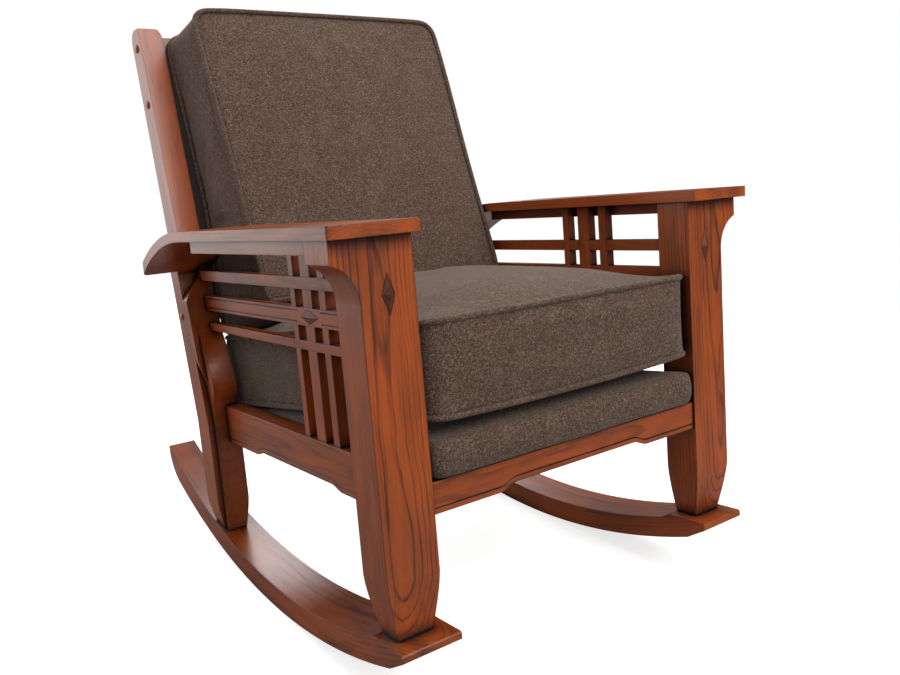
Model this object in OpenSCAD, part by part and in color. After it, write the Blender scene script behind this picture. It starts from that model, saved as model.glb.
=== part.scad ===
// Rocking chair in oak: two curved runners on the floor, four legs, broad arms,
// a lattice panel under each arm, an upholstered seat deck and two loose cushions.
// The chair is drawn upright, with the front face of its front legs at y = 0 and
// their feet at z = 0, and is then leaned back by rest_lean onto its runners.

/* [Front legs] */
// Clear width between the two front legs
seat_w = 598; // [520:1:700]
// Height of a front leg, from runner to arm
leg_h = 601; // [560:1:650]
// Width of a front leg, seen from the front
leg_w = 92; // [76:1:110]
// Depth of a front leg, front to back
leg_d = 70; // [56:1:84]
// Width of the leg under the arm, with its ear
ear_w = 134; // [118:1:150]
// Height of the straight edge of the ear
ear_h = 34; // [22:1:48]
// Radius of the hollow below the ear
ear_r = 62; // [50:1:90]
// Height of the tapered foot
taper_h = 95; // [60:1:120]
// How far the front foot tapers in at its front
taper_front = 15; // [5:1:20]
// How far the front foot tapers in at its back
taper_back = 8; // [3:1:14]
// How far the front foot tapers in on the seat side
taper_inner = 12; // [5:1:16]
// How far the front foot tapers in on the outer side
taper_outer = 18; // [8:1:24]

/* [Runners] */
// Radius of the underside of a runner
runner_r = 1372; // [1180:1:1600]
// Radius of the hollow top of a runner
runner_top_r = 1332; // [1150:1:1550]
// Thickness of a runner at its lowest point
runner_t = 43.5; // [34:0.5:54]
// Distance of the lowest point of the arc behind the face of the front legs
runner_low_y = 418; // [390:1:440]
// How far the lowest point of the top lies in front of that of the underside
runner_shift = 11; // [0:1:16]
// Depth of the hollow top of a runner below the front feet
runner_hollow = 51.5; // [44:0.5:60]
// How far a runner reaches past the front legs
runner_nose = 24; // [14:1:40]
// Length of a runner behind the face of the front legs
runner_back = 1035; // [980:1:1100]
// Width of a runner at its front end
runner_w_front = 108; // [98:1:124]
// Width of a runner at its back end
runner_w_back = 62; // [52:1:84]
// How far a runner reaches inside the leg at its front end
runner_in_front = 14; // [8:1:20]
// How far the runner lies further in at its back end than the leg
runner_in_back = 1; // [0:1:10]
// Length of the flat on top of the tail of a runner
runner_tail = 50; // [36:1:80]
// Angle by which the upright legs lean back when the chair stands at rest
rest_lean = 4.1; // [0:0.01:6]

/* [Arms] */
// Thickness of an arm board
arm_t = 19; // [15:0.5:25]
// Overhang of an arm past the outer face of the ear
arm_out = 10; // [4:1:16]
// Overhang of an arm past the front face of the leg
arm_front = 20; // [10:1:32]
// Overhang of an arm past the inner face of the leg
arm_in = 4.5; // [0:0.5:8]
// Distance behind the face of the legs where the arm starts to bend down
arm_bend_y = 550; // [500:1:570]
// Radius of the bend, on the top of the arm
arm_bend_r = 450; // [400:1:560]
// Distance behind the face of the legs where the tail of the arm ends
arm_end = 781; // [770:1:800]
// Radius of the rounded corners of the tail
arm_round = 9; // [3:1:14]
// Height of the rail under the arm
under_h = 21; // [14:1:28]
// Distance behind the face of the legs where the rail ends at its outer corner
under_end = 515; // [440:1:540]
// Distance behind the face of the legs where the rail ends at its inner corner
under_end_in = 602; // [560:1:640]

/* [Rear legs] */
// Distance of the front face of the rear legs behind the face of the front legs
rear_y = 703; // [680:1:730]
// Depth of a rear leg below its bend
post_d = 74; // [66:1:84]
// Width of a rear leg below the arm
rear_leg_w = 63; // [56:1:70]
// How far a rear leg stands in from the front leg, on the seat side
rear_leg_in = 8; // [6:1:12]
// How much a post is narrower above the arm on the seat side
shoulder_in = 5; // [2:1:8]
// How much a post is narrower above the arm on the outer side
shoulder_out = 9; // [4:1:14]
// Height at which a rear leg starts to lean back
kink_z = 215; // [150:1:240]
// Lean of the front of the posts
post_lean = 11.2; // [9:0.1:13]
// Lean of the rear of the posts
post_lean_back = 9.6; // [8:0.1:11]
// Height of a rear post
post_h = 1038; // [980:1:1090]
// Radius of the rounded back of the top of a post
post_round = 24; // [10:1:30]
// Width of the rounded inner corner of the top of a post
post_corner = 12; // [5:1:18]
// Height of the tapered foot of a rear leg
rear_taper_h = 65; // [40:1:110]
// How far a rear foot tapers in at its back
heel_in = 30; // [10:1:40]
// Distance of the top of the swelling knee of a rear leg below the lower level slat
knee_gap = 3; // [2:1:40]
// How far the knee stands forward of the line of the post
knee_out = 26; // [8:1:30]
// Depth of the notch that takes the tail of the arm
notch_d = 22; // [16:1:30]
// Width of the front of a post beside the notch
notch_keep = 19; // [12:1:24]
// Depth below the arm at which the hollow below the notch starts
notch_drop = 129; // [115:1:160]
// Height of the hollow below the notch
notch_h = 56; // [40:1:58]
// Width of the recess along the front corner of a rear leg
recess_w = 12; // [6:1:18]
// Depth of the recess along the front corner of a rear leg
recess_d = 14; // [6:1:20]
// Height of the top of the recess
recess_z = 355; // [320:1:380]

/* [Back] */
// Height of the crest rail
crest_h = 44; // [36:1:60]
// Depth of the top of the crest rail below the tops of the posts
crest_drop = 17; // [8:1:60]
// Height of the middle rail of the back
upper_rail_h = 44; // [30:1:60]
// Depth of the centre of the middle rail below the tops of the posts
upper_rail_drop = 156; // [130:1:200]
// Height of the lower rail, which lies flat
lower_rail_h = 22; // [18:1:30]
// Height of the centre of the lower rail
lower_rail_z = 438; // [430:1:450]
// Thickness of the rails of the back
back_rail_t = 38; // [30:1:40]
// Distance of the back rails behind the front of the posts
back_inset = 6; // [4:1:10]
// Number of webbing straps up the back
strap_n = 5; // [3:1:7]
// Width of a webbing strap
strap_w = 50; // [40:1:60]
// Diameter of the wooden screw plugs
plug_d = 18; // [12:1:20]
// Height of the domed head of a plug
plug_head = 4.5; // [2:0.5:6]

/* [Side panels] */
// Depth of the middle of the wide level slat below the arm
panel_drop = 136.5; // [120:0.5:150]
// Distance of the middle of the wide upright behind the face of the legs
panel_mid_y = 280; // [240:1:330]
// Thickness of the slats
slat_t = 18; // [12:0.5:20]
// Height of the wide level slat
slat_wide = 31; // [26:1:36]
// Height of the upper level slat
slat_upper = 21; // [15:1:24]
// Height of the lower level slat
slat_lower = 16; // [12:1:20]
// Width of the wide upright
upright_wide = 32; // [26:1:38]
// Width of the front upright
upright_front = 21; // [15:1:24]
// Width of the rear upright
upright_rear = 17; // [12:1:22]
// Gap above the wide level slat
gap_upper = 31; // [24:1:36]
// Gap below the wide level slat
gap_lower = 26; // [20:1:32]
// Gap in front of the wide upright
gap_front = 27; // [20:1:34]
// Gap behind the wide upright
gap_rear = 28; // [20:1:34]
// Length of the raised diamond on the side panel
slat_diamond_l = 68; // [40:1:72]
// Height of the raised diamond on the side panel
slat_diamond_h = 26; // [16:0.5:28]
// Width of the raised diamond on the front leg
leg_diamond_w = 23; // [16:1:30]
// Height of the raised diamond on the front leg
leg_diamond_h = 63; // [40:1:76]
// Depth of the middle of the diamond of the leg below the arm
leg_diamond_drop = 83; // [60:1:120]
// How far the diamonds stand proud
diamond_rise = 5; // [3:0.5:8]

/* [Seat rails] */
// Height of the underside of the front rail at its ends
front_rail_z = 180; // [165:1:190]
// Height of the top of the front rail
front_rail_top = 230; // [222:1:240]
// Thickness of the front rail
front_rail_t = 25; // [18:1:30]
// Setback of the front rail behind the face of the legs
front_rail_in = 4; // [2:1:10]
// Height of the underside of the side rails at their ends
side_rail_z = 172; // [160:1:180]
// Height of the top of the side rails
side_rail_top = 250; // [244:1:258]
// Thickness of the side rails
side_rail_t = 34; // [26:1:36]
// Rise of the lifted middle of the front rail
front_lift = 10; // [4:0.5:14]
// Rise of the lifted middle of the side rails
side_lift = 8; // [4:0.5:12]
// Length of the sloping part of a lift
lift_l = 35; // [20:1:60]
// Half length of the lifted part of the front rail
lift_front = 135; // [90:1:170]
// Distance from the front leg to the lift of a side rail
lift_side_front = 153; // [90:1:200]
// Distance from the rear leg to the lift of a side rail
lift_side_rear = 138; // [90:1:200]
// Height of the bead along the underside of the rails
bead_h = 8; // [4:1:12]

/* [Upholstery] */
// Height of the top of the padded deck at its front
deck_z = 309; // [300:1:318]
// Slope of the padded deck down to the back
deck_slope = 5.5; // [4:0.1:6.5]
// How far the seat deck stands out past the face of the legs
deck_front = 12; // [6:1:16]
// Slope of the seams of the seat cushion down to the back
seat_slope = 6.45; // [6:0.05:7]
// Height of the lower seam of the seat cushion at its front
cushion_z = 328; // [322:1:336]
// Length of the seat cushion, front to back
cushion_l = 790; // [700:1:795]
// Thickness of the seat cushion between its seams
cushion_t = 140; // [110:1:150]
// Height of the top of the crown of the seat cushion
crown_z = 506; // [480:1:525]
// Distance behind the face of the legs where the crown reaches its height
crown_y0 = 180; // [120:1:260]
// Distance behind the face of the legs where the crown starts to fall
crown_y1 = 410; // [330:1:440]
// Overhang of the seat cushion past the face of the legs
cushion_front = 8; // [0:1:20]
// Clearance of the seat cushion to the legs on each side
cushion_gap = 4; // [2:0.5:8]
// Radius of the corners of the seat cushion
cushion_r = 36; // [20:1:60]
// Radius of the piping on the seams
welt_r = 3.5; // [2.5:0.5:5]
// Height of the top of the back cushion above the tops of the posts, at its front seam
back_rise = 17; // [-40:1:50]
// Fall of the top of the back cushion from its front seam to its rear seam
back_fall = 29; // [10:1:40]
// Distance behind the face of the legs of the front seam at its middle
face_y = 634; // [610:1:650]
// Height of that point
face_z = 757; // [740:1:770]
// Lean of the front of the back cushion
back_face_lean = 19; // [16:0.1:19.5]
// Half width of the back cushion between the arms
back_half_low = 287.5; // [270:0.5:289]
// Half width of the back cushion at its top
back_half_top = 297; // [280:0.5:300]
// How much wider than its front the rear of the back cushion is at its top, on each side
back_flare = 11; // [0:0.5:11]
// Crown of the front of the back cushion
back_crown = 26; // [10:1:34]
// How far the sides of the cushions are drawn in
draw_in = 8; // [0:1:12]
// Height of the wooden frame of the seat deck
frame_h = 22; // [16:1:30]
// Width of the members of the frame of the seat deck
frame_w = 50; // [30:1:70]

/* [Hidden] */

wood = "#8a4522";
wood_dark = "#5e2c18";
fabric = "#5f5048";
steel = "#8d9094";
black_cloth = "#26241f";

// Overrun of a cut past the face that it opens
over = 1;
// Clearance of a soft piece to what it lies on
soft_gap = 0.3;
// Glue line between two curved faces
glue_gap = 0.05;
// Facets of curves
arc_n = 12;
hole_fn = 32;
runner_fn = 360;

// Places across the chair, for its right side
leg_x = seat_w / 2;
leg_out = leg_x + leg_w;
ear_out = leg_x + ear_w;
arm_x0 = leg_x - arm_in;
arm_x1 = ear_out + arm_out;
rear_x0 = leg_x + rear_leg_in;
rear_x1 = rear_x0 + rear_leg_w;
post_x0 = rear_x0 + shoulder_in;
post_x1 = rear_x1 - shoulder_out;
rail_x1 = leg_x + side_rail_t;
slat_in = 2;
slat_x1 = rail_x1 - slat_in;
slat_x0 = slat_x1 - slat_t;
arm_top = leg_h + arm_t;

// Heights that follow the arms and the posts
panel_mid_z = leg_h - panel_drop;
leg_diamond_z = leg_h - leg_diamond_drop;
notch_z = leg_h - notch_drop;
crest_top = post_h - crest_drop;
upper_rail_z = post_h - upper_rail_drop;
back_top = post_h + back_rise;
lower_z0 = panel_mid_z - slat_wide / 2 - gap_lower - slat_lower;
knee_top = lower_z0 - knee_gap;

// The bend of the arms
bend_z = arm_top - arm_bend_r;
arm_low_r = arm_bend_r - arm_t;
bend_over = 4;
bend_a = asin((arm_end + notch_d - arm_bend_y) / arm_bend_r) + bend_over;

// The front and the rear of a rear leg, at a height
lean = tan(post_lean);
lean_back = tan(post_lean_back);
rear_foot_y = rear_y + post_d;
function front_at(z) = rear_y + max(0, z - kink_z) * lean;
function rear_at(z) = rear_foot_y + max(0, z - kink_z) * lean_back;
function rail_at(z) = front_at(z) + back_inset;
rear_y_max = rear_at(post_h) + over;

// The arcs of the runners: their centres, and the heights of their faces
arc_y = runner_low_y;
arc_z = runner_r - runner_t - runner_hollow;
hollow_y = arc_y - runner_shift;
hollow_z = runner_top_r - runner_hollow;
function runner_top(y) = hollow_z - sqrt(pow(runner_top_r, 2) - pow(y - hollow_y, 2));
function runner_bottom(y) = arc_z - sqrt(pow(runner_r, 2) - pow(y - arc_y, 2));
rear_foot_z = runner_top(rear_y);

// Places of the chair when it stands on its runners
tail_rise_share = 0.53;
tail_edge = 10;
nose_edge = 12;
nose_round = 4;
nose_run = 40;
tail_y0 = runner_back - runner_tail;
tail_z1 = runner_top(tail_y0) + runner_tail * tail_rise_share;
floor_z = arc_z * cos(rest_lean) - arc_y * sin(rest_lean) - runner_r;
nose_world = -runner_nose * cos(rest_lean) - nose_edge * sin(rest_lean);
tail_world = runner_back * cos(rest_lean) + tail_z1 * sin(rest_lean);
mid_y = (nose_world + tail_world) / 2;

// Lean the upright chair back and set it on the floor, over the middle of its depth
module stand() {
    translate([0, -mid_y, -floor_z]) rotate([-rest_lean, 0, 0]) children();
}

// A piece of the right side, or of the left side with side = -1
module on_side(side) {
    if (side < 0) mirror([1, 0, 0]) children();
    else children();
}

// An outline of points [x, z], seen from the front, with its thickness from y0 to y1
module front_view(y0, y1) {
    translate([0, y1, 0]) rotate([90, 0, 0]) linear_extrude(y1 - y0) children();
}

// An outline of points [y, z], seen from the side, with its thickness from x0 to x1
module side_view(x0, x1) {
    translate([x0, 0, 0]) rotate([90, 0, 90]) linear_extrude(x1 - x0) children();
}

function reversed(v) = [for (i = [len(v) - 1 : -1 : 0]) v[i]];
function arc(cx, cy, r, a0, a1, n = arc_n) =
    [for (i = [0 : n]) let (a = a0 + (a1 - a0) * i / n) [cx + r * cos(a), cy + r * sin(a)]];
function clamp(t) = max(0, min(1, t));
function smooth(t) = clamp(t) * clamp(t) * (3 - 2 * clamp(t));

// How far a foot has tapered in, at a share of its height above its bottom
taper_n = 6;
taper_power_share = 1.35;
function taper(t, by) = by * pow(1 - t, taper_power_share);

/* Front legs */
ear_a = acos(1 - (ear_w - leg_w) / ear_r);
ear_z = leg_h - ear_h - ear_r * sin(ear_a);
function leg_outline() = concat(
    [for (i = [0 : taper_n]) let (t = i / taper_n) [leg_out - taper(t, taper_outer), t * taper_h]],
    [for (i = [0 : arc_n]) let (a = ear_a * i / arc_n)
        [leg_out + ear_r * (1 - cos(a)), ear_z + ear_r * sin(a)]],
    [[ear_out, leg_h], [leg_x, leg_h]],
    [for (i = [taper_n : -1 : 0]) let (t = i / taper_n) [leg_x + taper(t, taper_inner), t * taper_h]]
);
function leg_side_outline() = concat(
    [[0, leg_h]],
    [for (i = [taper_n : -1 : 0]) let (t = i / taper_n) [taper(t, taper_front), t * taper_h]],
    [for (i = [0 : taper_n]) let (t = i / taper_n) [leg_d - taper(t, taper_back), t * taper_h]],
    [[leg_d, leg_h]]
);
module front_leg(side) {
    color(wood) stand() on_side(side) difference() {
        intersection() {
            front_view(0, leg_d) polygon(leg_outline());
            side_view(leg_x, ear_out) polygon(leg_side_outline());
        }
        foot_screw_holes(front_screws());
    }
}

// A raised diamond on a face that looks along -y, with its middle at the origin
module diamond(w, h) {
    polyhedron(
        [[-w / 2, 0, 0], [0, 0, h / 2], [w / 2, 0, 0], [0, 0, -h / 2], [0, -diamond_rise, 0]],
        [[0, 1, 2, 3], [0, 4, 1], [1, 4, 2], [2, 4, 3], [3, 4, 0]]
    );
}
module leg_diamond(side) {
    color(wood_dark) stand() on_side(side)
        translate([leg_x + leg_w / 2, 0, leg_diamond_z]) diamond(leg_diamond_w, leg_diamond_h);
}

/* Rear legs: a bent board with a knee above the side rail, a notch for the arm and a
   recess down its front corner */
module above_runner() {
    translate([0, hollow_y, hollow_z]) rotate([0, 90, 0])
        cylinder(r = runner_top_r - glue_gap, h = arm_x1, $fn = runner_fn);
}
heel_power_share = 1.8;
function post_outline() = let (
    z0 = rear_foot_z - runner_hollow,
    top_y = rear_at(post_h - post_round) - post_round / cos(post_lean_back)
) concat(
    [[rear_y, z0], [rear_y, kink_z], [front_at(post_h), post_h]],
    arc(top_y, post_h - post_round, post_round, 90, -post_lean_back),
    [[rear_foot_y, kink_z]],
    [for (i = [taper_n : -1 : 0]) let (t = i / taper_n)
        [rear_foot_y - heel_in * pow(1 - t, heel_power_share), rear_foot_z + t * rear_taper_h]],
    [[rear_foot_y - heel_in, z0]]
);
rear_taper_outer_share = 0.5;
rear_outer = taper_outer * rear_taper_outer_share;
shoulder_z = bend_z + sqrt(pow(arm_bend_r, 2) - pow(arm_end - arm_bend_y, 2));
module rear_front_outline() {
    polygon(concat(
        [[rear_x0 + taper_inner, rear_foot_z - runner_hollow]],
        [for (i = [0 : taper_n]) let (t = i / taper_n)
            [rear_x0 + taper(t, taper_inner), rear_foot_z + t * rear_taper_h]],
        [[rear_x0, shoulder_z], [post_x0, shoulder_z]],
        [for (i = [arc_n : -1 : 0]) let (a = 90 * i / arc_n)
            [post_x0 + post_corner * (1 - sin(a)), post_h - 2 * post_corner * (1 - cos(a))]],
        [[post_x1, post_h], [post_x1, shoulder_z], [rear_x1, shoulder_z]],
        [for (i = [taper_n : -1 : 0]) let (t = i / taper_n)
            [rear_x1 - taper(t, rear_outer), rear_foot_z + t * rear_taper_h]],
        [[rear_x1 - rear_outer, rear_foot_z - runner_hollow]]
    ));
}
// Outline of what is cut from the front of a leg: the notch with its hollow
notch_x = rear_x0 + notch_keep;
notch_n = 8;
function notch_outline() = concat(
    [[rear_x1 + over, notch_z], [rear_x1, notch_z]],
    [for (i = [0 : notch_n]) let (t = i / notch_n)
        [rear_x1 - (rear_x1 - notch_x) * (t + smooth(t)) / 2, notch_z + notch_h * t]],
    [[notch_x, 2 * leg_h], [rear_x1 + over, 2 * leg_h]]
);
module below_arm_top() {
    side_view(rear_x0, rear_x1 + over) polygon(concat(
        [[arm_bend_y, notch_z - over]],
        arc(arm_bend_y, bend_z, arm_bend_r, 90, 90 - bend_a, 2 * arc_n),
        [[arm_bend_y + arm_bend_r * sin(bend_a), notch_z - over]]
    ));
}
// Outline of the recess down the front corner, with its curved shoulder
recess_n = 8;
recess_h_share = 0.18;
function recess_outline() = let (x1 = rear_x1 + over, x0 = rear_x1 - recess_w) concat(
    [[x1, rear_foot_z - runner_hollow], [x1, recess_z]],
    [for (i = [recess_n : -1 : 0]) let (t = i / recess_n)
        [x0 + recess_w * smooth(t), recess_z * (1 - recess_h_share * (1 - t))]],
    [[x0, rear_foot_z - runner_hollow]]
);
// Outline of the knee: upright behind the side rail, it swells above it and fades into the post
knee_n = 12;
knee_peak_share = 0.3;
knee_power_share = 1.6;
function knee_swell(t) = let (
    start = front_at(side_rail_top) - rear_y,
    s = (t - knee_peak_share) / (1 - knee_peak_share)
) s < 0
    ? start + (knee_out - start) * smooth(t / knee_peak_share)
    : knee_out * (1 - pow(s, knee_power_share));
function knee_outline() = concat(
    [for (i = [0 : knee_n]) let (t = i / knee_n, z = side_rail_top + (knee_top - side_rail_top) * t)
        [front_at(z) - knee_swell(t), z]],
    [[front_at(knee_top) + over, knee_top], [rear_y + over, kink_z], [rear_y, kink_z]]
);
module front_band(depth) {
    side_view(rear_x0, rear_x1 + over) polygon([
        [rear_y - over, rear_foot_z - runner_hollow], [rear_y - over, kink_z],
        [front_at(post_h) - over, post_h], [front_at(post_h) + depth, post_h],
        [rear_y + depth, kink_z], [rear_y + depth, rear_foot_z - runner_hollow]
    ]);
}
module rear_leg(side) {
    color(wood) stand() on_side(side) difference() {
        union() {
            intersection() {
                side_view(rear_x0, rear_x1) polygon(post_outline());
                front_view(rear_y, rear_y_max) rear_front_outline();
                above_runner();
            }
            side_view(rear_x0, rear_x1 - recess_w) polygon(knee_outline());
        }
        intersection() {
            front_band(notch_d);
            front_view(rear_y - over, rear_y_max) polygon(notch_outline());
            below_arm_top();
        }
        intersection() {
            front_band(recess_d);
            front_view(rear_y - over, rear_y_max) polygon(recess_outline());
        }
        rail_screw_holes();
        foot_screw_holes(rear_screws());
    }
}

/* Runners */
runner_x0 = leg_x - runner_in_front;
runner_x1 = runner_x0 + runner_w_front;
runner_back_x0 = leg_x - runner_in_back;
landing_y = leg_d - taper_back;
landing_run = 18;
runner_n = 72;
tail_n = 8;
function runner_outline() = let (
    y0 = nose_run - runner_nose,
    a0 = asin((y0 - arc_y) / runner_r),
    a1 = asin((tail_y0 - arc_y) / runner_r),
    b = runner_bottom(tail_y0),
    s = (tail_y0 - arc_y) / (arc_z - b) * runner_tail,
    y1 = landing_y + landing_run
) concat(
    [[landing_y, 0], [nose_round - runner_nose, 0]],
    arc(nose_round - runner_nose, -nose_round, nose_round, 90, 180, 4),
    [[-runner_nose, -nose_edge]],
    [for (i = [0 : runner_n]) let (a = a0 + (a1 - a0) * i / runner_n)
        [arc_y + runner_r * sin(a), arc_z - runner_r * cos(a)]],
    [for (i = [1 : tail_n]) let (a = 90 * i / tail_n)
        [tail_y0 + runner_tail * sin(a), b + s * sin(a) + (tail_z1 - tail_edge - b - s) * (1 - cos(a))]],
    [[runner_back, tail_z1]],
    [for (i = [0 : runner_n]) let (y = tail_y0 + (y1 - tail_y0) * i / runner_n) [y, runner_top(y)]]
);
module rocker(side) {
    color(wood) stand() on_side(side) difference() {
        intersection() {
            side_view(0, runner_x1) polygon(runner_outline());
            translate([0, 0, -runner_r]) linear_extrude(2 * runner_r) polygon([
                [runner_x0, -runner_nose], [runner_x1, -runner_nose],
                [runner_back_x0 + runner_w_back, runner_back], [runner_back_x0, runner_back]
            ]);
        }
        foot_screw_holes(front_screws());
        foot_screw_holes(rear_screws());
    }
}

// Screws up through the runners, two into each leg, with their heads sunk in
screw_d = 6;
screw_head_d = 12;
screw_head_h = 4;
screw_sink = 8;
screw_grip = 36;
front_screw_space = 30;
rear_screw_space = 20;
function front_screws() = [(leg_x + taper_inner + leg_out - taper_outer) / 2,
    front_screw_space, (taper_front + leg_d - taper_back) / 2];
function rear_screws() = [(rear_x0 + taper_inner + rear_x1 - rear_outer) / 2,
    rear_screw_space, rear_y + (post_d - heel_in) / 2 + recess_d / 2];
module screw_place(s) {
    for (e = [-1, 1]) translate([s[0] + e * s[1] / 2, s[2], runner_bottom(s[2]) + screw_sink]) children();
}
module foot_screw_holes(s) {
    screw_place(s) {
        translate([0, 0, -screw_sink - over])
            cylinder(d = screw_head_d, h = screw_sink + over + screw_head_h, $fn = hole_fn);
        cylinder(d = screw_d, h = screw_head_h + runner_t + screw_grip, $fn = hole_fn);
    }
}
module rocker_screws() {
    color(steel) stand() for (side = [-1, 1], s = [front_screws(), rear_screws()])
        on_side(side) screw_place(s) rotate_extrude($fn = hole_fn) polygon([
            [0, 0], [screw_head_d / 2, 0], [screw_head_d / 2, screw_head_h], [screw_d / 2, screw_head_h],
            [screw_d / 2, screw_head_h + runner_t + screw_grip], [0, screw_head_h + runner_t + screw_grip]
        ]);
}

/* Arms and the rails under them */
function arm_low(y) = y < arm_bend_y ? leg_h : bend_z + sqrt(pow(arm_low_r, 2) - pow(y - arm_bend_y, 2));
function arm_outline() = concat(
    [[-arm_front, leg_h], [-arm_front, arm_top]],
    arc(arm_bend_y, bend_z, arm_bend_r, 90, 90 - bend_a, 2 * arc_n),
    arc(arm_bend_y, bend_z, arm_low_r, 90 - bend_a, 90, 2 * arc_n)
);
module arm_plan() {
    y1 = rear_y_max;
    polygon(concat(
        [[arm_x0, -arm_front]],
        arc(arm_x1 - arm_round / 3, -arm_front + arm_round / 3, arm_round / 3, -90, 0, 4),
        arc(arm_x1 - arm_round, arm_end - arm_round, arm_round, 0, 90, 6),
        [[rear_x1, arm_end], [rear_x1, y1], [arm_x0, y1]]
    ));
}
module arm(side) {
    color(wood) stand() on_side(side) difference() {
        intersection() {
            side_view(arm_x0, arm_x1) polygon(arm_outline());
            linear_extrude(2 * leg_h) arm_plan();
        }
        side_view(arm_x0 - over, notch_x) polygon([
            [rear_y, kink_z], [front_at(post_h), post_h], [rear_y_max, post_h], [rear_y_max, kink_z]
        ]);
        side_view(notch_x - over, rear_x1 + over) polygon([
            [rear_y + notch_d, kink_z], [front_at(post_h) + notch_d, post_h],
            [rear_y_max + notch_d, post_h], [rear_y_max + notch_d, kink_z]
        ]);
    }
}
module under_arm_rail(side) {
    z0 = leg_h - under_h;
    n = 6;
    color(wood) stand() on_side(side) intersection() {
        side_view(slat_x1, ear_out) polygon(concat(
            [[leg_d, z0], [under_end_in, z0]],
            [for (i = [n : -1 : 0]) let (y = arm_bend_y + (under_end_in - arm_bend_y) * i / n)
                [y, arm_low(y) - glue_gap]],
            [[leg_d, leg_h]]
        ));
        linear_extrude(2 * leg_h) polygon([
            [slat_x1, leg_d], [ear_out, leg_d], [ear_out, under_end], [slat_x1, under_end_in]
        ]);
    }
}

/* Side panels: three level slats and three uprights, halved into each other */
upper_z0 = panel_mid_z + slat_wide / 2 + gap_upper;
middle_z0 = panel_mid_z - slat_wide / 2;
center_y0 = panel_mid_y - upright_wide / 2;
front_y0 = center_y0 - gap_front - upright_front;
back_y0 = center_y0 + upright_wide + gap_rear;
LEVELS = [[upper_z0, slat_upper], [middle_z0, slat_wide], [lower_z0, slat_lower]];
UPRIGHTS = [[front_y0, upright_front], [center_y0, upright_wide], [back_y0, upright_rear]];
module level_slat(side, level) {
    z0 = LEVELS[level][0];
    h = LEVELS[level][1];
    color(wood) stand() on_side(side) difference() {
        side_view(slat_x0, slat_x1)
            polygon([[leg_d, z0], [front_at(z0), z0], [front_at(z0 + h), z0 + h], [leg_d, z0 + h]]);
        for (u = UPRIGHTS) translate([slat_x0 - over, u[0], z0 - over])
            cube([slat_t / 2 + over, u[1], h + 2 * over]);
        if (level == 1) slat_grooves();
    }
}
module upright(side, place) {
    y0 = UPRIGHTS[place][0];
    w = UPRIGHTS[place][1];
    color(wood) stand() on_side(side) difference() {
        side_view(slat_x0, slat_x1)
            polygon([[y0, side_rail_top], [y0 + w, side_rail_top], [y0 + w, leg_h], [y0, leg_h]]);
        for (v = LEVELS) translate([slat_x0 + slat_t / 2, y0 - over, v[0]])
            cube([slat_t / 2 + over, w + 2 * over, v[1]]);
    }
}
// Two grooves along the wide slat that meet in a swallow tail on each side of the diamond
groove_w = 1.8;
groove_depth = 1.5;
groove_in = 5;
groove_gap = 8;
tail_share = 0.45;
function groove_line(y0, y1, in) = let (
    z0 = middle_z0 + in,
    z1 = middle_z0 + slat_wide - in,
    notch = sign(y1 - y0) * (z1 - z0) * tail_share
) [[y1, z0], [y0, z0], [y0 + notch, panel_mid_z], [y0, z1], [y1, z1]];
module groove(y0, y1) {
    dir = sign(y1 - y0);
    difference() {
        polygon(groove_line(y0, y1, groove_in));
        polygon(groove_line(y0 + dir * groove_w, y1 + dir * over, groove_in + groove_w));
    }
}
module slat_grooves() {
    side_view(slat_x1 - groove_depth, slat_x1 + over) {
        groove(panel_mid_y + slat_diamond_l / 2 + groove_gap, front_at(middle_z0 + slat_wide) + over);
        groove(panel_mid_y - slat_diamond_l / 2 - groove_gap, leg_d - over);
    }
}
module slat_diamond(side) {
    color(wood_dark) stand() on_side(side) translate([slat_x1, panel_mid_y, panel_mid_z])
        rotate([0, 0, 90]) diamond(slat_diamond_l, slat_diamond_h);
}

/* Seat rails, with a lifted middle and a bead along the underside */
lift_n = 6;
// The underside from p to q, where each is [place, height, end of the lift towards it]
function lifted(p, q, rise, up) = concat(
    [[p[0], p[1] + up]],
    [for (i = [0 : lift_n]) let (t = i / lift_n) [p[2] + lift_l * t, p[1] + up + rise * smooth(t)]],
    [for (i = [0 : lift_n]) let (t = i / lift_n) [q[2] - lift_l * (1 - t), q[1] + up + rise * smooth(1 - t)]],
    [[q[0], q[1] + up]]
);
module bead_groove(p, q, rise) {
    polygon(concat(lifted(p, q, rise, bead_h), reversed(lifted(p, q, rise, bead_h + groove_w))));
}
module front_rail() {
    p = [-leg_x, front_rail_z, -lift_front - lift_l];
    q = [leg_x, front_rail_z, lift_front + lift_l];
    color(wood) stand() difference() {
        front_view(front_rail_in, front_rail_in + front_rail_t) polygon(concat(
            lifted(p, q, front_lift, 0), [[leg_x, front_rail_top], [-leg_x, front_rail_top]]
        ));
        front_view(front_rail_in - over, front_rail_in + groove_depth) bead_groove(p, q, front_lift);
    }
}
module side_rail(side) {
    p = [leg_d, side_rail_z, leg_d + lift_side_front];
    q = [rear_y, side_rail_z, rear_y - lift_side_rear];
    color(wood) stand() on_side(side) difference() {
        side_view(leg_x, rail_x1) polygon(concat(
            lifted(p, q, side_lift, 0), [[rear_y, side_rail_top], [leg_d, side_rail_top]]
        ));
        side_view(rail_x1 - groove_depth, rail_x1 + over) bead_groove(p, q, side_lift);
    }
}
rear_rail_t = 27;
module rear_rail() {
    color(wood) stand() translate([-rear_x0, rear_y, side_rail_z])
        cube([2 * rear_x0, rear_rail_t, front_rail_top - side_rail_z]);
}

/* Back rails between the posts, their screws and the plugs over the screws */
strap_t = 2;
cloth_t = 1.2;
plug_sink = 6;
plug_lip = 1.5;
rail_screw_l = 78;
lower_rail_d = 56;
lower_screw_y = 38;
crest_z = crest_top - crest_h / 2;
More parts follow.
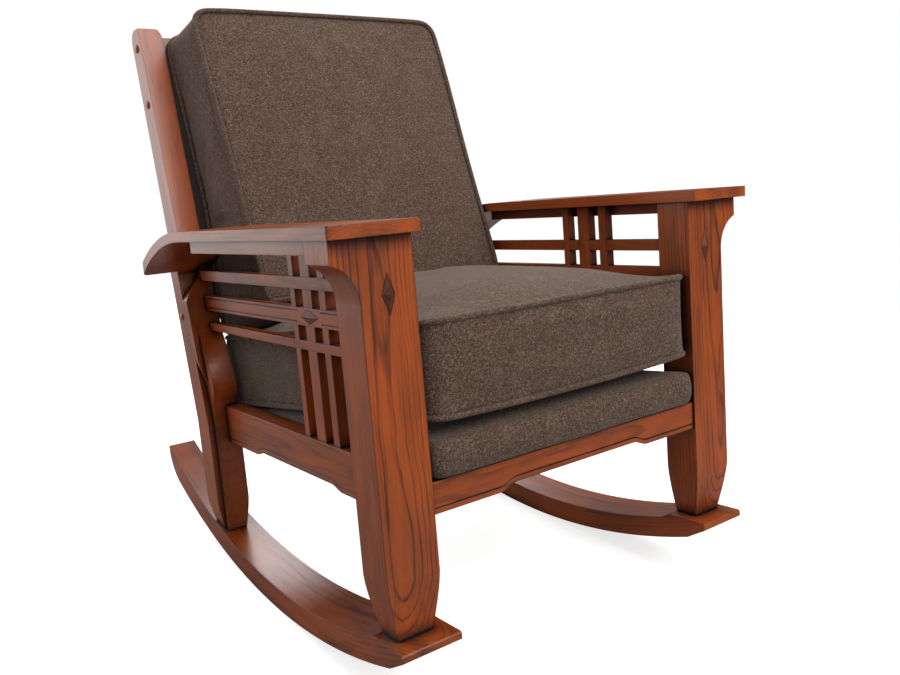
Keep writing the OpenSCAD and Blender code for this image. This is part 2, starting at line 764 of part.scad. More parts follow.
// Each rail: height of its middle, height, thickness, half length, place of its screws
BACKS = [
    [crest_z, crest_h, back_rail_t, post_x0, back_rail_t / 2, post_x1],
    [upper_rail_z, upper_rail_h, back_rail_t, post_x0, back_rail_t / 2, post_x1],
    [lower_rail_z, lower_rail_h, lower_rail_d, rear_x0, lower_screw_y, rear_x1]
];
module back_rail(i) {
    s = BACKS[i];
    z0 = s[0] - s[1] / 2;
    z1 = s[0] + s[1] / 2;
    color(wood) stand() difference() {
        side_view(-s[3], s[3]) polygon([
            [rail_at(z0), z0], [rail_at(z0) + s[2], z0], [rail_at(z1) + s[2], z1], [rail_at(z1), z1]
        ]);
        for (side = [-1, 1]) on_side(side) rail_screw_hole(s);
    }
}
module rail_screw_place(s) {
    translate([s[5] - plug_sink, rail_at(s[0]) + s[4], s[0]]) rotate([0, 90, 0]) children();
}
module rail_screw_hole(s) {
    rail_screw_place(s) {
        translate([0, 0, -rail_screw_l]) cylinder(d = screw_d, h = rail_screw_l, $fn = hole_fn);
        translate([0, 0, -screw_head_h])
            cylinder(d = plug_d - 2 * plug_lip, h = screw_head_h + plug_sink + over, $fn = hole_fn);
    }
}
module rail_screw_holes() {
    for (s = BACKS) rail_screw_hole(s);
}
module rail_screws() {
    head = (plug_d - 2 * plug_lip) / 2;
    color(steel) stand() for (side = [-1, 1], s = BACKS) on_side(side)
        rail_screw_place(s) rotate_extrude($fn = hole_fn) polygon([
            [0, 0], [head, 0], [head, -screw_head_h], [screw_d / 2, -screw_head_h],
            [screw_d / 2, -rail_screw_l], [0, -rail_screw_l]
        ]);
}
module screw_plugs() {
    dome_r = (pow(plug_d / 2, 2) + pow(plug_head, 2)) / (2 * plug_head);
    color(wood_dark) stand() for (side = [-1, 1], s = BACKS) on_side(side) rail_screw_place(s) {
        cylinder(d = plug_d - 2 * plug_lip, h = plug_sink, $fn = hole_fn);
        intersection() {
            translate([0, 0, plug_sink + plug_head - dome_r]) sphere(r = dome_r, $fn = 2 * hole_fn);
            translate([0, 0, plug_sink]) cylinder(d = plug_d, h = plug_head, $fn = hole_fn);
        }
    }
}
// Webbing straps up the back and black cloth stretched over them
cloth_drop_share = 0.64;
cloth_top = crest_top - crest_h * cloth_drop_share;
cloth_low = lower_rail_z - lower_rail_h / 2;
module sheet_up(x0, x1, y0, t) {
    side_view(x0, x1) polygon([
        [rail_at(cloth_low) - y0 - t, cloth_low], [rail_at(cloth_low) - y0, cloth_low],
        [rail_at(cloth_top) - y0, cloth_top], [rail_at(cloth_top) - y0 - t, cloth_top]
    ]);
}
module back_straps() {
    color(black_cloth) stand() for (i = [0 : strap_n - 1])
        translate([-rear_x0 + 2 * rear_x0 * (i + 1 / 2) / strap_n, 0, 0])
            sheet_up(-strap_w / 2, strap_w / 2, 0, strap_t);
}
module back_cloth() {
    color(black_cloth) stand() intersection() {
        sheet_up(-post_x0, post_x0, strap_t, cloth_t);
        front_view(rear_y, rear_y_max) polygon(concat(
            [[-post_x0, cloth_top], [-post_x0, shoulder_z + over], [-rear_x0, shoulder_z + over]],
            [[-rear_x0, cloth_low], [rear_x0, cloth_low]],
            [[rear_x0, shoulder_z + over], [post_x0, shoulder_z + over], [post_x0, cloth_top]]
        ));
    }
}

/* The seat: corner blocks, a wooden frame with springs, a dust cover and the padded deck */
frame_y0 = front_rail_in + front_rail_t;
frame_y1 = rear_y;
frame_top = front_rail_top;
frame_z0 = frame_top - frame_h;
corner_l = 70;
corner_h = 20;
module corner_blocks() {
    color(wood) stand() for (side = [-1, 1], e = [[frame_y0, 1], [frame_y1, -1]]) on_side(side)
        translate([0, 0, frame_z0 - corner_h]) linear_extrude(corner_h)
            polygon([[leg_x, e[0]], [leg_x - corner_l, e[0]], [leg_x, e[0] + e[1] * corner_l]]);
}
module seat_frame_side(side) {
    color(wood) stand() on_side(side) translate([leg_x - frame_w, frame_y0, frame_z0])
        cube([frame_w, frame_y1 - frame_y0, frame_h]);
}
module seat_frame_end(y0) {
    color(wood) stand() translate([frame_w - leg_x, y0, frame_z0])
        cube([2 * (leg_x - frame_w), frame_w, frame_h]);
}
module dust_cover() {
    color(black_cloth) stand() translate([corner_l - leg_x, frame_y0, frame_z0 - cloth_t])
        cube([2 * (leg_x - corner_l), frame_y1 - frame_y0, cloth_t]);
}
// Zigzag springs, front to back, in the opening of the frame
spring_n = 4;
spring_d = 4;
spring_amp = 24;
spring_curls = 5;
spring_steps = 8;
spring_sides = 6;
spring_z = frame_top - spring_d;
function spring_point(t) = let (y0 = frame_y0 + frame_w, y1 = frame_y1 - frame_w)
    [spring_amp * sin(360 * spring_curls * t), y0 + (y1 - y0) * t, spring_z];
function spring_side(t) = let (d = cos(360 * spring_curls * t) * 2 * PI * spring_amp * spring_curls,
    l = frame_y1 - frame_y0 - 2 * frame_w, n = norm([d, l])) [l / n, -d / n, 0];
function tube_faces(n, m) = concat(
    [[for (k = [0 : m - 1]) k]],
    [for (i = [0 : n - 1], k = [0 : m - 1]) let (a = i * m + k, b = i * m + (k + 1) % m) each
        [[a, a + m, b], [b, a + m, b + m]]],
    [[for (k = [m - 1 : -1 : 0]) n * m + k]]
);
module spring() {
    n = spring_curls * spring_steps;
    polyhedron(
        [for (i = [0 : n], k = [0 : spring_sides - 1]) let (t = i / n, a = 360 * k / spring_sides)
            spring_point(t) + spring_d / 2 * (cos(a) * (i == 0 || i == n ? [1, 0, 0] : spring_side(t))
                + sin(a) * [0, 0, 1])],
        tube_faces(n, spring_sides)
    );
}
module seat_springs() {
    span = 2 * (leg_x - frame_w);
    color(steel) stand() for (i = [0 : spring_n - 1])
        translate([-span / 2 + span * (i + 1 / 2) / spring_n, 0, 0]) spring();
}

/* Padded pieces: closed forms of rings, from the middle of the underside over the lower
   seam, up the drawn-in side, over the upper seam and in to the middle of the top */
corner_n = 4;
side_n = 6;
cap_n = 6;
wall_n = 4;
// A round-cornered outline: [x, y] in shares of half its size, the way out, and how far
// along a straight side a point is. Its two lower corners can be tighter, by a share
function corner_r(q, low) = q % 4 < 2 ? 1 : low;
function corner_at(q, rx, ry, k) =
    [(q % 4 == 0 || q % 4 == 3 ? 1 : -1) * (1 - rx * k), (q % 4 < 2 ? 1 : -1) * (1 - ry * k)];
function outline_shares(rx, ry, low = 1) = [for (q = [0 : 3]) let (
    k = corner_r(q, low),
    m = corner_r(q + 1, low),
    c = corner_at(q, rx, ry, k),
    d = corner_at(q + 1, rx, ry, m)
) each concat(
    [for (i = [0 : corner_n - 1]) let (a = 90 * (q + i / corner_n))
        [c[0] + rx * k * cos(a), c[1] + ry * k * sin(a), cos(a), sin(a), 0]],
    [for (i = [0 : side_n - 1]) let (t = i / side_n, a = 90 * (q + 1), n = k + (m - k) * t)
        [c[0] + (d[0] - c[0]) * t + rx * n * cos(a), c[1] + (d[1] - c[1]) * t + ry * n * sin(a),
            cos(a), sin(a), 4 * t * (1 - t)]]
)];
// Rings of a cushion: [share of the outline, share of the height, draw-in, out, up]
function seam(h) = let (w = welt_r) h == 0
    ? [[1, 0, 0, w / 4, -w * 3 / 4], [1, 0, 0, w, 0], [1, 0, 0, w / 4, w]]
    : [[1, 1, 0, w / 4, -w], [1, 1, 0, w, 0], [1, 1, 0, w / 4, w * 3 / 4]];
function cushion_rings() = concat(
    [for (i = [1 : cap_n]) [i / cap_n, 0, 0, 0, 0]],
    seam(0),
    [for (i = [1 : wall_n - 1]) let (t = i / wall_n) [1, t, draw_in * sin(180 * t), 0, 0]],
    seam(1),
    [for (i = [cap_n : -1 : 1]) [i / cap_n, 1, 0, 0, 0]]
);
// Faces of n rings of m points, closed by a first and a last point
function pad_faces(n, m) = let (last = n * m + 1) concat(
    [for (k = [0 : m - 1]) [0, 1 + k, 1 + (k + 1) % m]],
    [for (i = [0 : n - 2], k = [0 : m - 1]) let (a = 1 + i * m + k, b = 1 + i * m + (k + 1) % m) each
        [[a, a + m, b], [b, a + m, b + m]]],
    [for (k = [0 : m - 1]) [last, 1 + (n - 1) * m + (k + 1) % m, 1 + (n - 1) * m + k]]
);
module pad(points, n, m) {
    color(fabric) stand() polyhedron(points, pad_faces(n, m));
}

// The deck under the cushion: level underside, rolled edges, top that falls to the back
deck_roll = 10;
deck_corner = 26;
deck_drop_share = 0.23;
deck_n = 6;
deck_y0 = -deck_front;
deck_l = rear_y - deck_y0;
deck_half = leg_x - soft_gap;
function deck_line(y) = deck_z - y * tan(deck_slope);
function deck_rings() = concat(
    [for (i = [1 : cap_n]) [i / cap_n, 0, -deck_roll]],
    [for (i = [1 : deck_n - 1]) let (a = 180 * i / deck_n) [1, (1 - cos(a)) / 2, -deck_roll * (1 - sin(a))]],
    [for (i = [cap_n : -1 : 1]) [i / cap_n, 1, -deck_roll]]
);
function deck_point(r, s) = let (
    u = s[0] * r[0],
    v = s[1] * r[0],
    x = u * deck_half + s[2] * r[2] * r[0],
    y = deck_y0 + deck_l * (1 + v) / 2 + (s[3] < 0 ? s[3] * r[2] * r[0] : 0),
    drop = deck_drop_share * max(pow(abs(u), 5), v < 0 ? pow(abs(v), 16) : 0)
) [x, y, frame_top + (deck_line(y) - frame_top) * (1 - drop) * r[1]];
module seat_deck() {
    out = outline_shares(deck_corner / deck_half, 2 * deck_corner / deck_l);
    rings = deck_rings();
    pad(concat(
        [deck_point([0, 0, 0], out[0])],
        [for (r = rings, s = out) deck_point(r, s)],
        [deck_point([0, 1, 0], out[0])]
    ), len(rings), len(out));
}

// The seat cushion, with a belly on the deck and a crown that falls to its rear seam
slope = tan(seat_slope);
cushion_half = leg_x - cushion_gap - welt_r;
cushion_y0 = welt_r - cushion_front;
cushion_len = (cushion_l - 2 * welt_r) * cos(seat_slope);
cushion_y1 = cushion_y0 + cushion_len;
seam_rise = welt_r * 1.2;
function seam_plane(y) = cushion_z - (y - cushion_y0) * slope;
function crown_line(y) = let (z1 = seam_plane(cushion_y1) + cushion_t + seam_rise)
    z1 + (crown_z - z1) * (cushion_y1 - y) / (cushion_y1 - crown_y1);
function crown_at(y) = let (
    z0 = seam_plane(cushion_y0) + cushion_t,
    t = clamp((y - cushion_y0) / (crown_y0 - cushion_y0))
) y > crown_y1 ? crown_line(y) : z0 + (crown_z - z0) * (1 - pow(1 - t, 2.5));
function seat_point(r, s) = let (
    u = s[0] * r[0],
    v = s[1] * r[0],
    off = r[3] - r[2] * s[4],
    x = u * cushion_half + s[2] * off,
    y = cushion_y0 + cushion_len * (1 + v) / 2 + s[3] * off,
    belly = (1 - pow(abs(u), 6)) * (1 - pow(abs(v), 6)),
    low = seam_plane(y) - (seam_plane(y) - deck_line(y) - soft_gap) * belly,
    seam_z = seam_plane(y) + cushion_t,
    high = seam_z + (crown_at(y) - seam_z) * (1 - pow(abs(u), 3)) * (1 - pow(abs(v), 12))
) [x, y, low + (high - low) * r[1] + r[4]];
module seat_cushion() {
    out = outline_shares(cushion_r / cushion_half, 2 * cushion_r / cushion_len);
    rings = cushion_rings();
    pad(concat(
        [seat_point([0, 0, 0, 0, 0], out[0])],
        [for (r = rings, s = out) seat_point(r, s)],
        [seat_point([0, 1, 0, 0, 0], out[0])]
    ), len(rings), len(out));
}

// The back cushion stands on the falling crown of the seat cushion and leans on the cloth
back_r = 40;
back_low_r_share = 0.45;
face_slope = tan(back_face_lean);
line_slope = (crown_line(0) - crown_line(rear_y)) / rear_y;
function back_front(z) = face_y + (z - face_z) * face_slope;
function back_rear(z) = rail_at(z) - strap_t - cloth_t - soft_gap - welt_r;
// Where the front and the rear of the cushion meet the crown, with room for the piping
welt_share = 1.1;
low_gap = soft_gap + welt_r * welt_share;
low_z = crown_line(0) + low_gap;
low_front_y = (face_y + (low_z - face_z) * face_slope) / (1 + line_slope * face_slope);
low_rear_y = (back_rear(kink_z) + (low_z - kink_z) * lean) / (1 + line_slope * lean);
back_low_front = [low_front_y, crown_line(low_front_y) + low_gap];
back_low_rear = [low_rear_y, crown_line(low_rear_y) + low_gap];
back_top_front = [back_front(back_top), back_top];
back_top_rear = [back_rear(back_top - back_fall), back_top - back_fall];
back_high = norm(back_top_front - back_low_front);
function back_point(r, s) = let (
    u = s[0] * r[0],
    v = s[1] * r[0],
    w = 1 - r[1],
    off = r[3] - r[2] * s[4],
    low = back_low_front + (back_low_rear - back_low_front) * w,
    high = back_top_front + (back_top_rear - back_top_front) * w,
    p = low + (high - low) * (1 + v) / 2,
    up = (high - low) / norm(high - low),
    half = back_half_low + (back_half_top - back_half_low) * pow((1 + v) / 2, 2)
        + back_flare * w * pow((1 + v) / 2, 4),
    crown = r[1] == 1 ? back_crown * (1 - pow(abs(u), 2.6)) * (1 - pow(abs(v), 4)) : 0,
    rise = s[3] * off
) [u * half + s[2] * off, p[0] + up[0] * rise - crown - r[4], p[1] + up[1] * rise];
module back_cushion() {
    out = outline_shares(back_r / back_half_top, 2 * back_r / back_high, back_low_r_share);
    rings = cushion_rings();
    pad(concat(
        [back_point([0, 0, 0, 0, 0], out[0])],
        [for (r = rings, s = out) back_point(r, s)],
        [back_point([0, 1, 0, 0, 0], out[0])]
    ), len(rings), len(out));
}

front_leg(-1);  // front_leg_left
front_leg(1);  // front_leg_right
leg_diamond(-1);  // leg_diamond_left
leg_diamond(1);  // leg_diamond_right
rear_leg(-1);  // rear_leg_left
rear_leg(1);  // rear_leg_right
rocker(-1);  // rocker_left
rocker(1);  // rocker_right
arm(-1);  // arm_left
arm(1);  // arm_right
under_arm_rail(-1);  // under_arm_rail_left
under_arm_rail(1);  // under_arm_rail_right
side_rail(-1);  // side_rail_left
side_rail(1);  // side_rail_right
level_slat(-1, 0);  // upper_slat_left
level_slat(1, 0);  // upper_slat_right
level_slat(-1, 1);  // middle_slat_left
level_slat(1, 1);  // middle_slat_right
level_slat(-1, 2);  // lower_slat_left
level_slat(1, 2);  // lower_slat_right
upright(-1, 2);  // rear_upright_left
upright(1, 2);  // rear_upright_right
upright(-1, 1);  // center_upright_left
upright(1, 1);  // center_upright_right
upright(-1, 0);  // front_upright_left
upright(1, 0);  // front_upright_right
slat_diamond(-1);  // slat_diamond_left
slat_diamond(1);  // slat_diamond_right
front_rail();
rear_rail();
back_rail(0);  // crest_rail
back_rail(1);  // middle_back_rail
back_rail(2);  // lower_back_rail
back_straps();
back_cloth();
rail_screws();
screw_plugs();
rocker_screws();
corner_blocks();
seat_frame_side(-1);  // seat_frame_left
seat_frame_side(1);  // seat_frame_right
seat_frame_end(frame_y0);  // seat_frame_front
seat_frame_end(frame_y1 - frame_w);  // seat_frame_rear
seat_springs();
dust_cover();
seat_deck();
seat_cushion();
back_cushion();
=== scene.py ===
"""Looks of a wooden rocking chair: stained oak, woven cushions with piping, and a pale studio.

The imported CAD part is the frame. Its wooden pieces keep their shape and get grain that runs
along each board. The three upholstered pieces are modelled here in place of their plain solids.
"""

import logging
import math
from dataclasses import dataclass
from enum import Enum
from typing import Dict, List, Optional, Tuple, Union

import bpy
import numpy as np
from mathutils import Matrix, Vector, kdtree
from mathutils import noise as ripple
from mathutils.bvhtree import BVHTree


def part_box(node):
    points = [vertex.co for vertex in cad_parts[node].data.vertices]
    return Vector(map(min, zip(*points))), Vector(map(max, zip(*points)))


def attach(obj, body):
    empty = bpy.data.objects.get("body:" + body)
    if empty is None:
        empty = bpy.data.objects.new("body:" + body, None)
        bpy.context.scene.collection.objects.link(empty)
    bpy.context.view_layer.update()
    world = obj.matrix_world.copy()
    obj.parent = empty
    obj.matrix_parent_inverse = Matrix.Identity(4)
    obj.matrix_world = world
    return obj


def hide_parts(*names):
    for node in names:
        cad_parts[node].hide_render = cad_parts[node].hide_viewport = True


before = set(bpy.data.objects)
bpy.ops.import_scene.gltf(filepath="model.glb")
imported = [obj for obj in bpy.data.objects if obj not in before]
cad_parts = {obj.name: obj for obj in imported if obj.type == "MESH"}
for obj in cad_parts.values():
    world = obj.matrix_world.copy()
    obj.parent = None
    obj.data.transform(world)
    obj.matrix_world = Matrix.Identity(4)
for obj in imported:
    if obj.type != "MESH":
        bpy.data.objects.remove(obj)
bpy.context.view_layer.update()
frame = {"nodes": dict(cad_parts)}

log = logging.getLogger("chair")
MM = 0.001  # a millimetre in metres
Colour = Tuple[float, float, float]
Span = Tuple[float, float]


# ---------------------------------------------------------------- places in the chair
@dataclass(frozen=True)
class ChairFrame:
    """The upright chair, in millimetres, as it is drawn in the CAD source.

    In it the front legs stand upright with their front face at y = 0 and their feet at z = 0.
    The part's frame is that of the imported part: the same chair, leaned back onto its runners,
    with the floor at z = 0, in metres.

    Args:
        lean: How far the chair leans back at rest.
        runner_r: Radius of the runners' underside.
        runner_top_r: Radius of their hollow top.
        runner_t: Thickness of a runner at its lowest place.
        runner_hollow: How far the lowest place of that top lies below the front feet.
        runner_low_y: Where the underside is lowest.
        runner_shift: How far in front of that the top is lowest.
        nose: The runners' front end, as y and z.
        tail_y: Where the runners end behind.
        tail_flat: Length of the flat on top of the tail.
        tail_rise: Rise over that flat.
    """

    lean: float = math.radians(4.1)
    runner_r: float = 1372.0
    runner_top_r: float = 1332.0
    runner_t: float = 43.5
    runner_hollow: float = 51.5
    runner_low_y: float = 418.0
    runner_shift: float = 11.0
    nose: Span = (-24.0, -12.0)
    tail_y: float = 1035.0
    tail_flat: float = 50.0
    tail_rise: float = 26.5

    @property
    def arc_z(self) -> float:
        """Height of the centre of the runners' arc."""
        return self.runner_r - self.runner_t - self.runner_hollow

    @property
    def shift(self) -> Tuple[float, float]:
        """Middle of the depth and height of the floor, once the chair is leaned back."""
        c, s = math.cos(self.lean), math.sin(self.lean)
        y = self.tail_y - self.tail_flat - self.runner_low_y + self.runner_shift
        arc = self.runner_top_r - math.sqrt(self.runner_top_r**2 - y**2)
        tail_z = arc - self.runner_hollow + self.tail_rise
        front = self.nose[0] * c + self.nose[1] * s
        back = self.tail_y * c + tail_z * s
        return (front + back) / 2, self.arc_z * c - self.runner_low_y * s - self.runner_r

    def way(self, x: float, y: float, z: float) -> Vector:
        """A direction of the upright chair, in the part's frame."""
        c, s = math.cos(self.lean), math.sin(self.lean)
        return Vector((x, y * c + z * s, -y * s + z * c))

    def point(self, x: float, y: float, z: float) -> Vector:
        """A place in the upright chair, in the part's frame, in metres."""
        p = self.way(x, y, z)
        mid_y, floor_z = self.shift
        return Vector((p.x, p.y - mid_y, p.z - floor_z)) * MM

    def to_chair(self, co: np.ndarray) -> np.ndarray:
        """Places in the part's frame, one a row, as places in the upright chair."""
        c, s = math.cos(self.lean), math.sin(self.lean)
        mid_y, floor_z = self.shift
        y, z = co[:, 1] / MM + mid_y, co[:, 2] / MM + floor_z
        return np.c_[co[:, 0] / MM, y * c - z * s, y * s + z * c]

    def to_part(self, co: np.ndarray) -> np.ndarray:
        """Places in the upright chair, one a row, as places in the part's frame."""
        c, s = math.cos(self.lean), math.sin(self.lean)
        mid_y, floor_z = self.shift
        y, z = co[:, 1] * c + co[:, 2] * s, -co[:, 1] * s + co[:, 2] * c
        return np.c_[co[:, 0], y - mid_y, z - floor_z] * MM


CHAIR = ChairFrame()


# ---------------------------------------------------------------- shader building
class Socket:
    """An output of a shader node that works in sums like a number.

    Args:
        graph: The node tree that the sums are added to.
        out: The node's output.
    """

    def __init__(self, graph: "Graph", out: bpy.types.NodeSocket) -> None:
        """Keeps the output with its tree."""
        self.graph = graph
        self.out = out

    def _sum(self, operation: str, *values: "Value") -> "Socket":
        """A Math node on the values."""
        return self.graph.math(operation, *values)

    def __add__(self, other: "Value") -> "Socket":
        """This and another value."""
        return self._sum("ADD", self, other)

    def __radd__(self, other: "Value") -> "Socket":
        """Another value and this."""
        return self._sum("ADD", other, self)

    def __sub__(self, other: "Value") -> "Socket":
        """This less another value."""
        return self._sum("SUBTRACT", self, other)

    def __rsub__(self, other: "Value") -> "Socket":
        """Another value less this."""
        return self._sum("SUBTRACT", other, self)

    def __mul__(self, other: "Value") -> "Socket":
        """This times another value."""
        return self._sum("MULTIPLY", self, other)

    def __rmul__(self, other: "Value") -> "Socket":
        """Another value times this."""
        return self._sum("MULTIPLY", other, self)

    def __truediv__(self, other: "Value") -> "Socket":
        """This over another value."""
        return self._sum("DIVIDE", self, other)

    def __rtruediv__(self, other: "Value") -> "Socket":
        """Another value over this."""
        return self._sum("DIVIDE", other, self)

    def __pow__(self, other: "Value") -> "Socket":
        """This to the power of another value."""
        return self._sum("POWER", self, other)

    def __rpow__(self, other: "Value") -> "Socket":
        """Another value to the power of this."""
        return self._sum("POWER", other, self)


Value = Union[Socket, float]


class Graph:
    """The node tree of a material or of the world.

    Args:
        owner: The material or world, whose old nodes are removed.
    """

    def __init__(self, owner: Union[bpy.types.Material, bpy.types.World]) -> None:
        """Empties the owner's tree."""
        owner.use_nodes = True
        self.owner = owner
        self.tree = owner.node_tree
        self.tree.nodes.clear()

    @classmethod
    def material(cls, name: str) -> "Graph":
        """The tree of a new material."""
        return cls(bpy.data.materials.new(name))

    def node(
        self,
        kind: str,
        settings: Optional[Dict[str, object]] = None,
        sockets: Optional[Dict[Union[str, int], object]] = None,
        out: Union[str, int, None] = 0,
    ) -> Optional[Socket]:
        """Adds a node.

        Args:
            kind: The node's type, without its ShaderNode prefix.
            settings: The node's own options.
            sockets: Values and links of its inputs, by name or place.
            out: The output that is returned.

        Returns:
            The output, to link or to compute with.
        """
        made = self.tree.nodes.new("ShaderNode" + kind)
        for key, value in (settings or {}).items():
            setattr(made, key, value)
        for key, value in (sockets or {}).items():
            if isinstance(value, Socket):
                self.tree.links.new(value.out, made.inputs[key])
            else:
                made.inputs[key].default_value = value
        return None if out is None else Socket(self, made.outputs[out])

    def math(self, operation: str, *values: Value) -> Socket:
        """A Math node on one, two or three values."""
        return self.node("Math", {"operation": operation}, dict(enumerate(values)))

    def clamp(self, value: Value) -> Socket:
        """The value held between 0 and 1."""
        return self.node("Clamp", {}, {"Value": value})

    def vector(self, x: Value, y: Value, z: Value) -> Socket:
        """A vector of three values."""
        return self.node("CombineXYZ", {}, {0: x, 1: y, 2: z})

    def dot(self, a: Socket, way: Vector) -> Socket:
        """How far a place lies along a direction."""
        return self.node("VectorMath", {"operation": "DOT_PRODUCT"}, {0: a, 1: tuple(way)}, "Value")

    def minus(self, a: Socket, place: Vector) -> Socket:
        """A place, counted from another."""
        return self.node("VectorMath", {"operation": "SUBTRACT"}, {0: a, 1: tuple(place)})

    def noise(
        self,
        where: Socket,
        scale: float,
        detail: float = 2.0,
        rough: float = 0.5,
        twist: float = 0.0,
    ) -> Socket:
        """Cloudy noise from 0 to 1.

        Args:
            where: The place in it.
            scale: How fine it is.
            detail: Its octaves.
            rough: Weight of the finer octaves.
            twist: How much it distorts itself.

        Returns:
            The noise.
        """
        shape = {"Scale": scale, "Detail": detail, "Roughness": rough, "Distortion": twist}
        return self.node("TexNoise", {}, {"Vector": where, **shape})

    def step(self, value: Value, ends: Span) -> Socket:
        """A smooth step from 0 at the first end to 1 at the second."""
        sockets = {"Value": value, "From Min": ends[0], "From Max": ends[1]}
        return self.node("MapRange", {"interpolation_type": "SMOOTHSTEP"}, sockets)

    def mix(self, share: Value, a: Union[Socket, Colour], b: Union[Socket, Colour]) -> Socket:
        """A colour between two colours."""
        pair = [v if isinstance(v, Socket) else (*v, 1.0) for v in (a, b)]
        return self.node("Mix", {"data_type": "RGBA"}, {0: share, 6: pair[0], 7: pair[1]}, 2)

    def times(self, a: Socket, b: Colour) -> Socket:
        """A colour multiplied by another."""
        settings = {"data_type": "RGBA", "blend_type": "MULTIPLY"}
        return self.node("Mix", settings, {0: 1.0, 6: a, 7: (*b, 1.0)}, 2)

    def bump(
        self, height: Socket, strength: float, depth: float, normal: Optional[Socket] = None
    ) -> Socket:
        """A normal from a height.

        Args:
            height: The height, from 0 to 1.
            strength: How strongly it is felt, from 0 to 1.
            depth: How high 1 is, in metres.
            normal: The normal that it is laid over, if not the surface's own.

        Returns:
            The normal.
        """
        sockets = {"Height": height, "Strength": strength, "Distance": depth}
        return self.node("Bump", {}, {**sockets, "Normal": normal} if normal else sockets, "Normal")

    def place(self) -> Socket:
        """The shaded point in the part's frame, at rest."""
        return self.node("TexCoord", {}, {}, "Object")

    def finish(self, sockets: Dict[str, object]) -> bpy.types.Material:
        """Closes the tree with one surface shader."""
        return self.end(self.node("BsdfPrincipled", {}, sockets))

    def end(self, shader: Socket) -> Union[bpy.types.Material, bpy.types.World]:
        """Links a shader to the surface and returns the tree's owner."""
        kind = "World" if isinstance(self.owner, bpy.types.World) else "Material"
        self.node("Output" + kind, {}, {"Surface": shader}, None)
        return self.owner


# ---------------------------------------------------------------- finishes
class Way(Enum):
    """Directions of the upright chair that a board's grain can follow."""

    SIDEWAYS = (1.0, 0.0, 0.0)
    BACK = (0.0, 1.0, 0.0)
    UP = (0.0, 0.0, 1.0)
    POST = (0.0, 0.195, 0.981)
    OFF_POST = (0.0, 0.981, -0.195)

    @property
    def vector(self) -> Vector:
        """The direction in the part's frame."""
        return CHAIR.way(*self.value).normalized()


@dataclass(frozen=True)
class Board:
    """How a board is cut from its tree.

    Args:
        along: Direction of the grain.
        across: Direction over the width of the flat sawn face.
        through: Direction through the thickness.
        heart: How deep below the middle of the board the heart of the tree lies, in metres.
        bent: Whether the board is bent to the arc of the runners.
        figure: Strength of the grain's lines and pores.
    """

    along: Way
    across: Way
    through: Way
    heart: float = 0.07
    bent: bool = False
    figure: float = 0.6


SEED_START, SEEDS = 3, 97  # weight of a name's first letter, and how many figures there are


def piece_seed(name: str) -> float:
    """A number from 0 to 1 that belongs to a piece's name."""
    return (sum(ord(c) * (i + SEED_START) for i, c in enumerate(name)) % SEEDS) / SEEDS


@dataclass(frozen=True)
class Cloud:
    """Cloudy noise in a board, drawn out along the grain.

    Args:
        across: How fine it is across the grain.
        along: How fine it is along the grain.
        scale: How fine it is both ways.
        detail: Its octaves.
        rough: Weight of the finer octaves.
        twist: How much it distorts itself.
    """

    across: float
    along: float
    scale: float = 1.0
    detail: float = 3.0
    rough: float = 0.6
    twist: float = 0.0

    def at(self, g: Graph, across: Socket, deep: Socket, along: Socket) -> Socket:
        """The noise at a place in the board, from 0 to 1."""
        where = g.vector(across * self.across, deep * self.across, along * self.along)
        return g.noise(where, self.scale, self.detail, self.rough, self.twist)


@dataclass(frozen=True)
class Shade:
    """Painted shade where surfaces meet, darkening them by an occlusion estimate; in the wood it
    stands also for glaze.

    Args:
        reach: How far from a meeting the painted shade reaches, in metres.
        strength: How strong the painted shade is.
        power: How quickly it thins out.
        start: What has to be exceeded before any painted shade shows.
        samples: Rays for the estimate.
    """

    reach: float
    strength: float
    power: float = 1.0
    start: float = 0.0
    samples: int = 8

    def share(self, g: Graph) -> Socket:
        """How much painted shade lies on the shaded point, from 0 to 1."""
        rays = {"samples": self.samples}
        clear = g.node("AmbientOcclusion", rays, {"Distance": self.reach}, "AO")
        return g.clamp((1.0 - clear) ** self.power * self.strength - self.start)


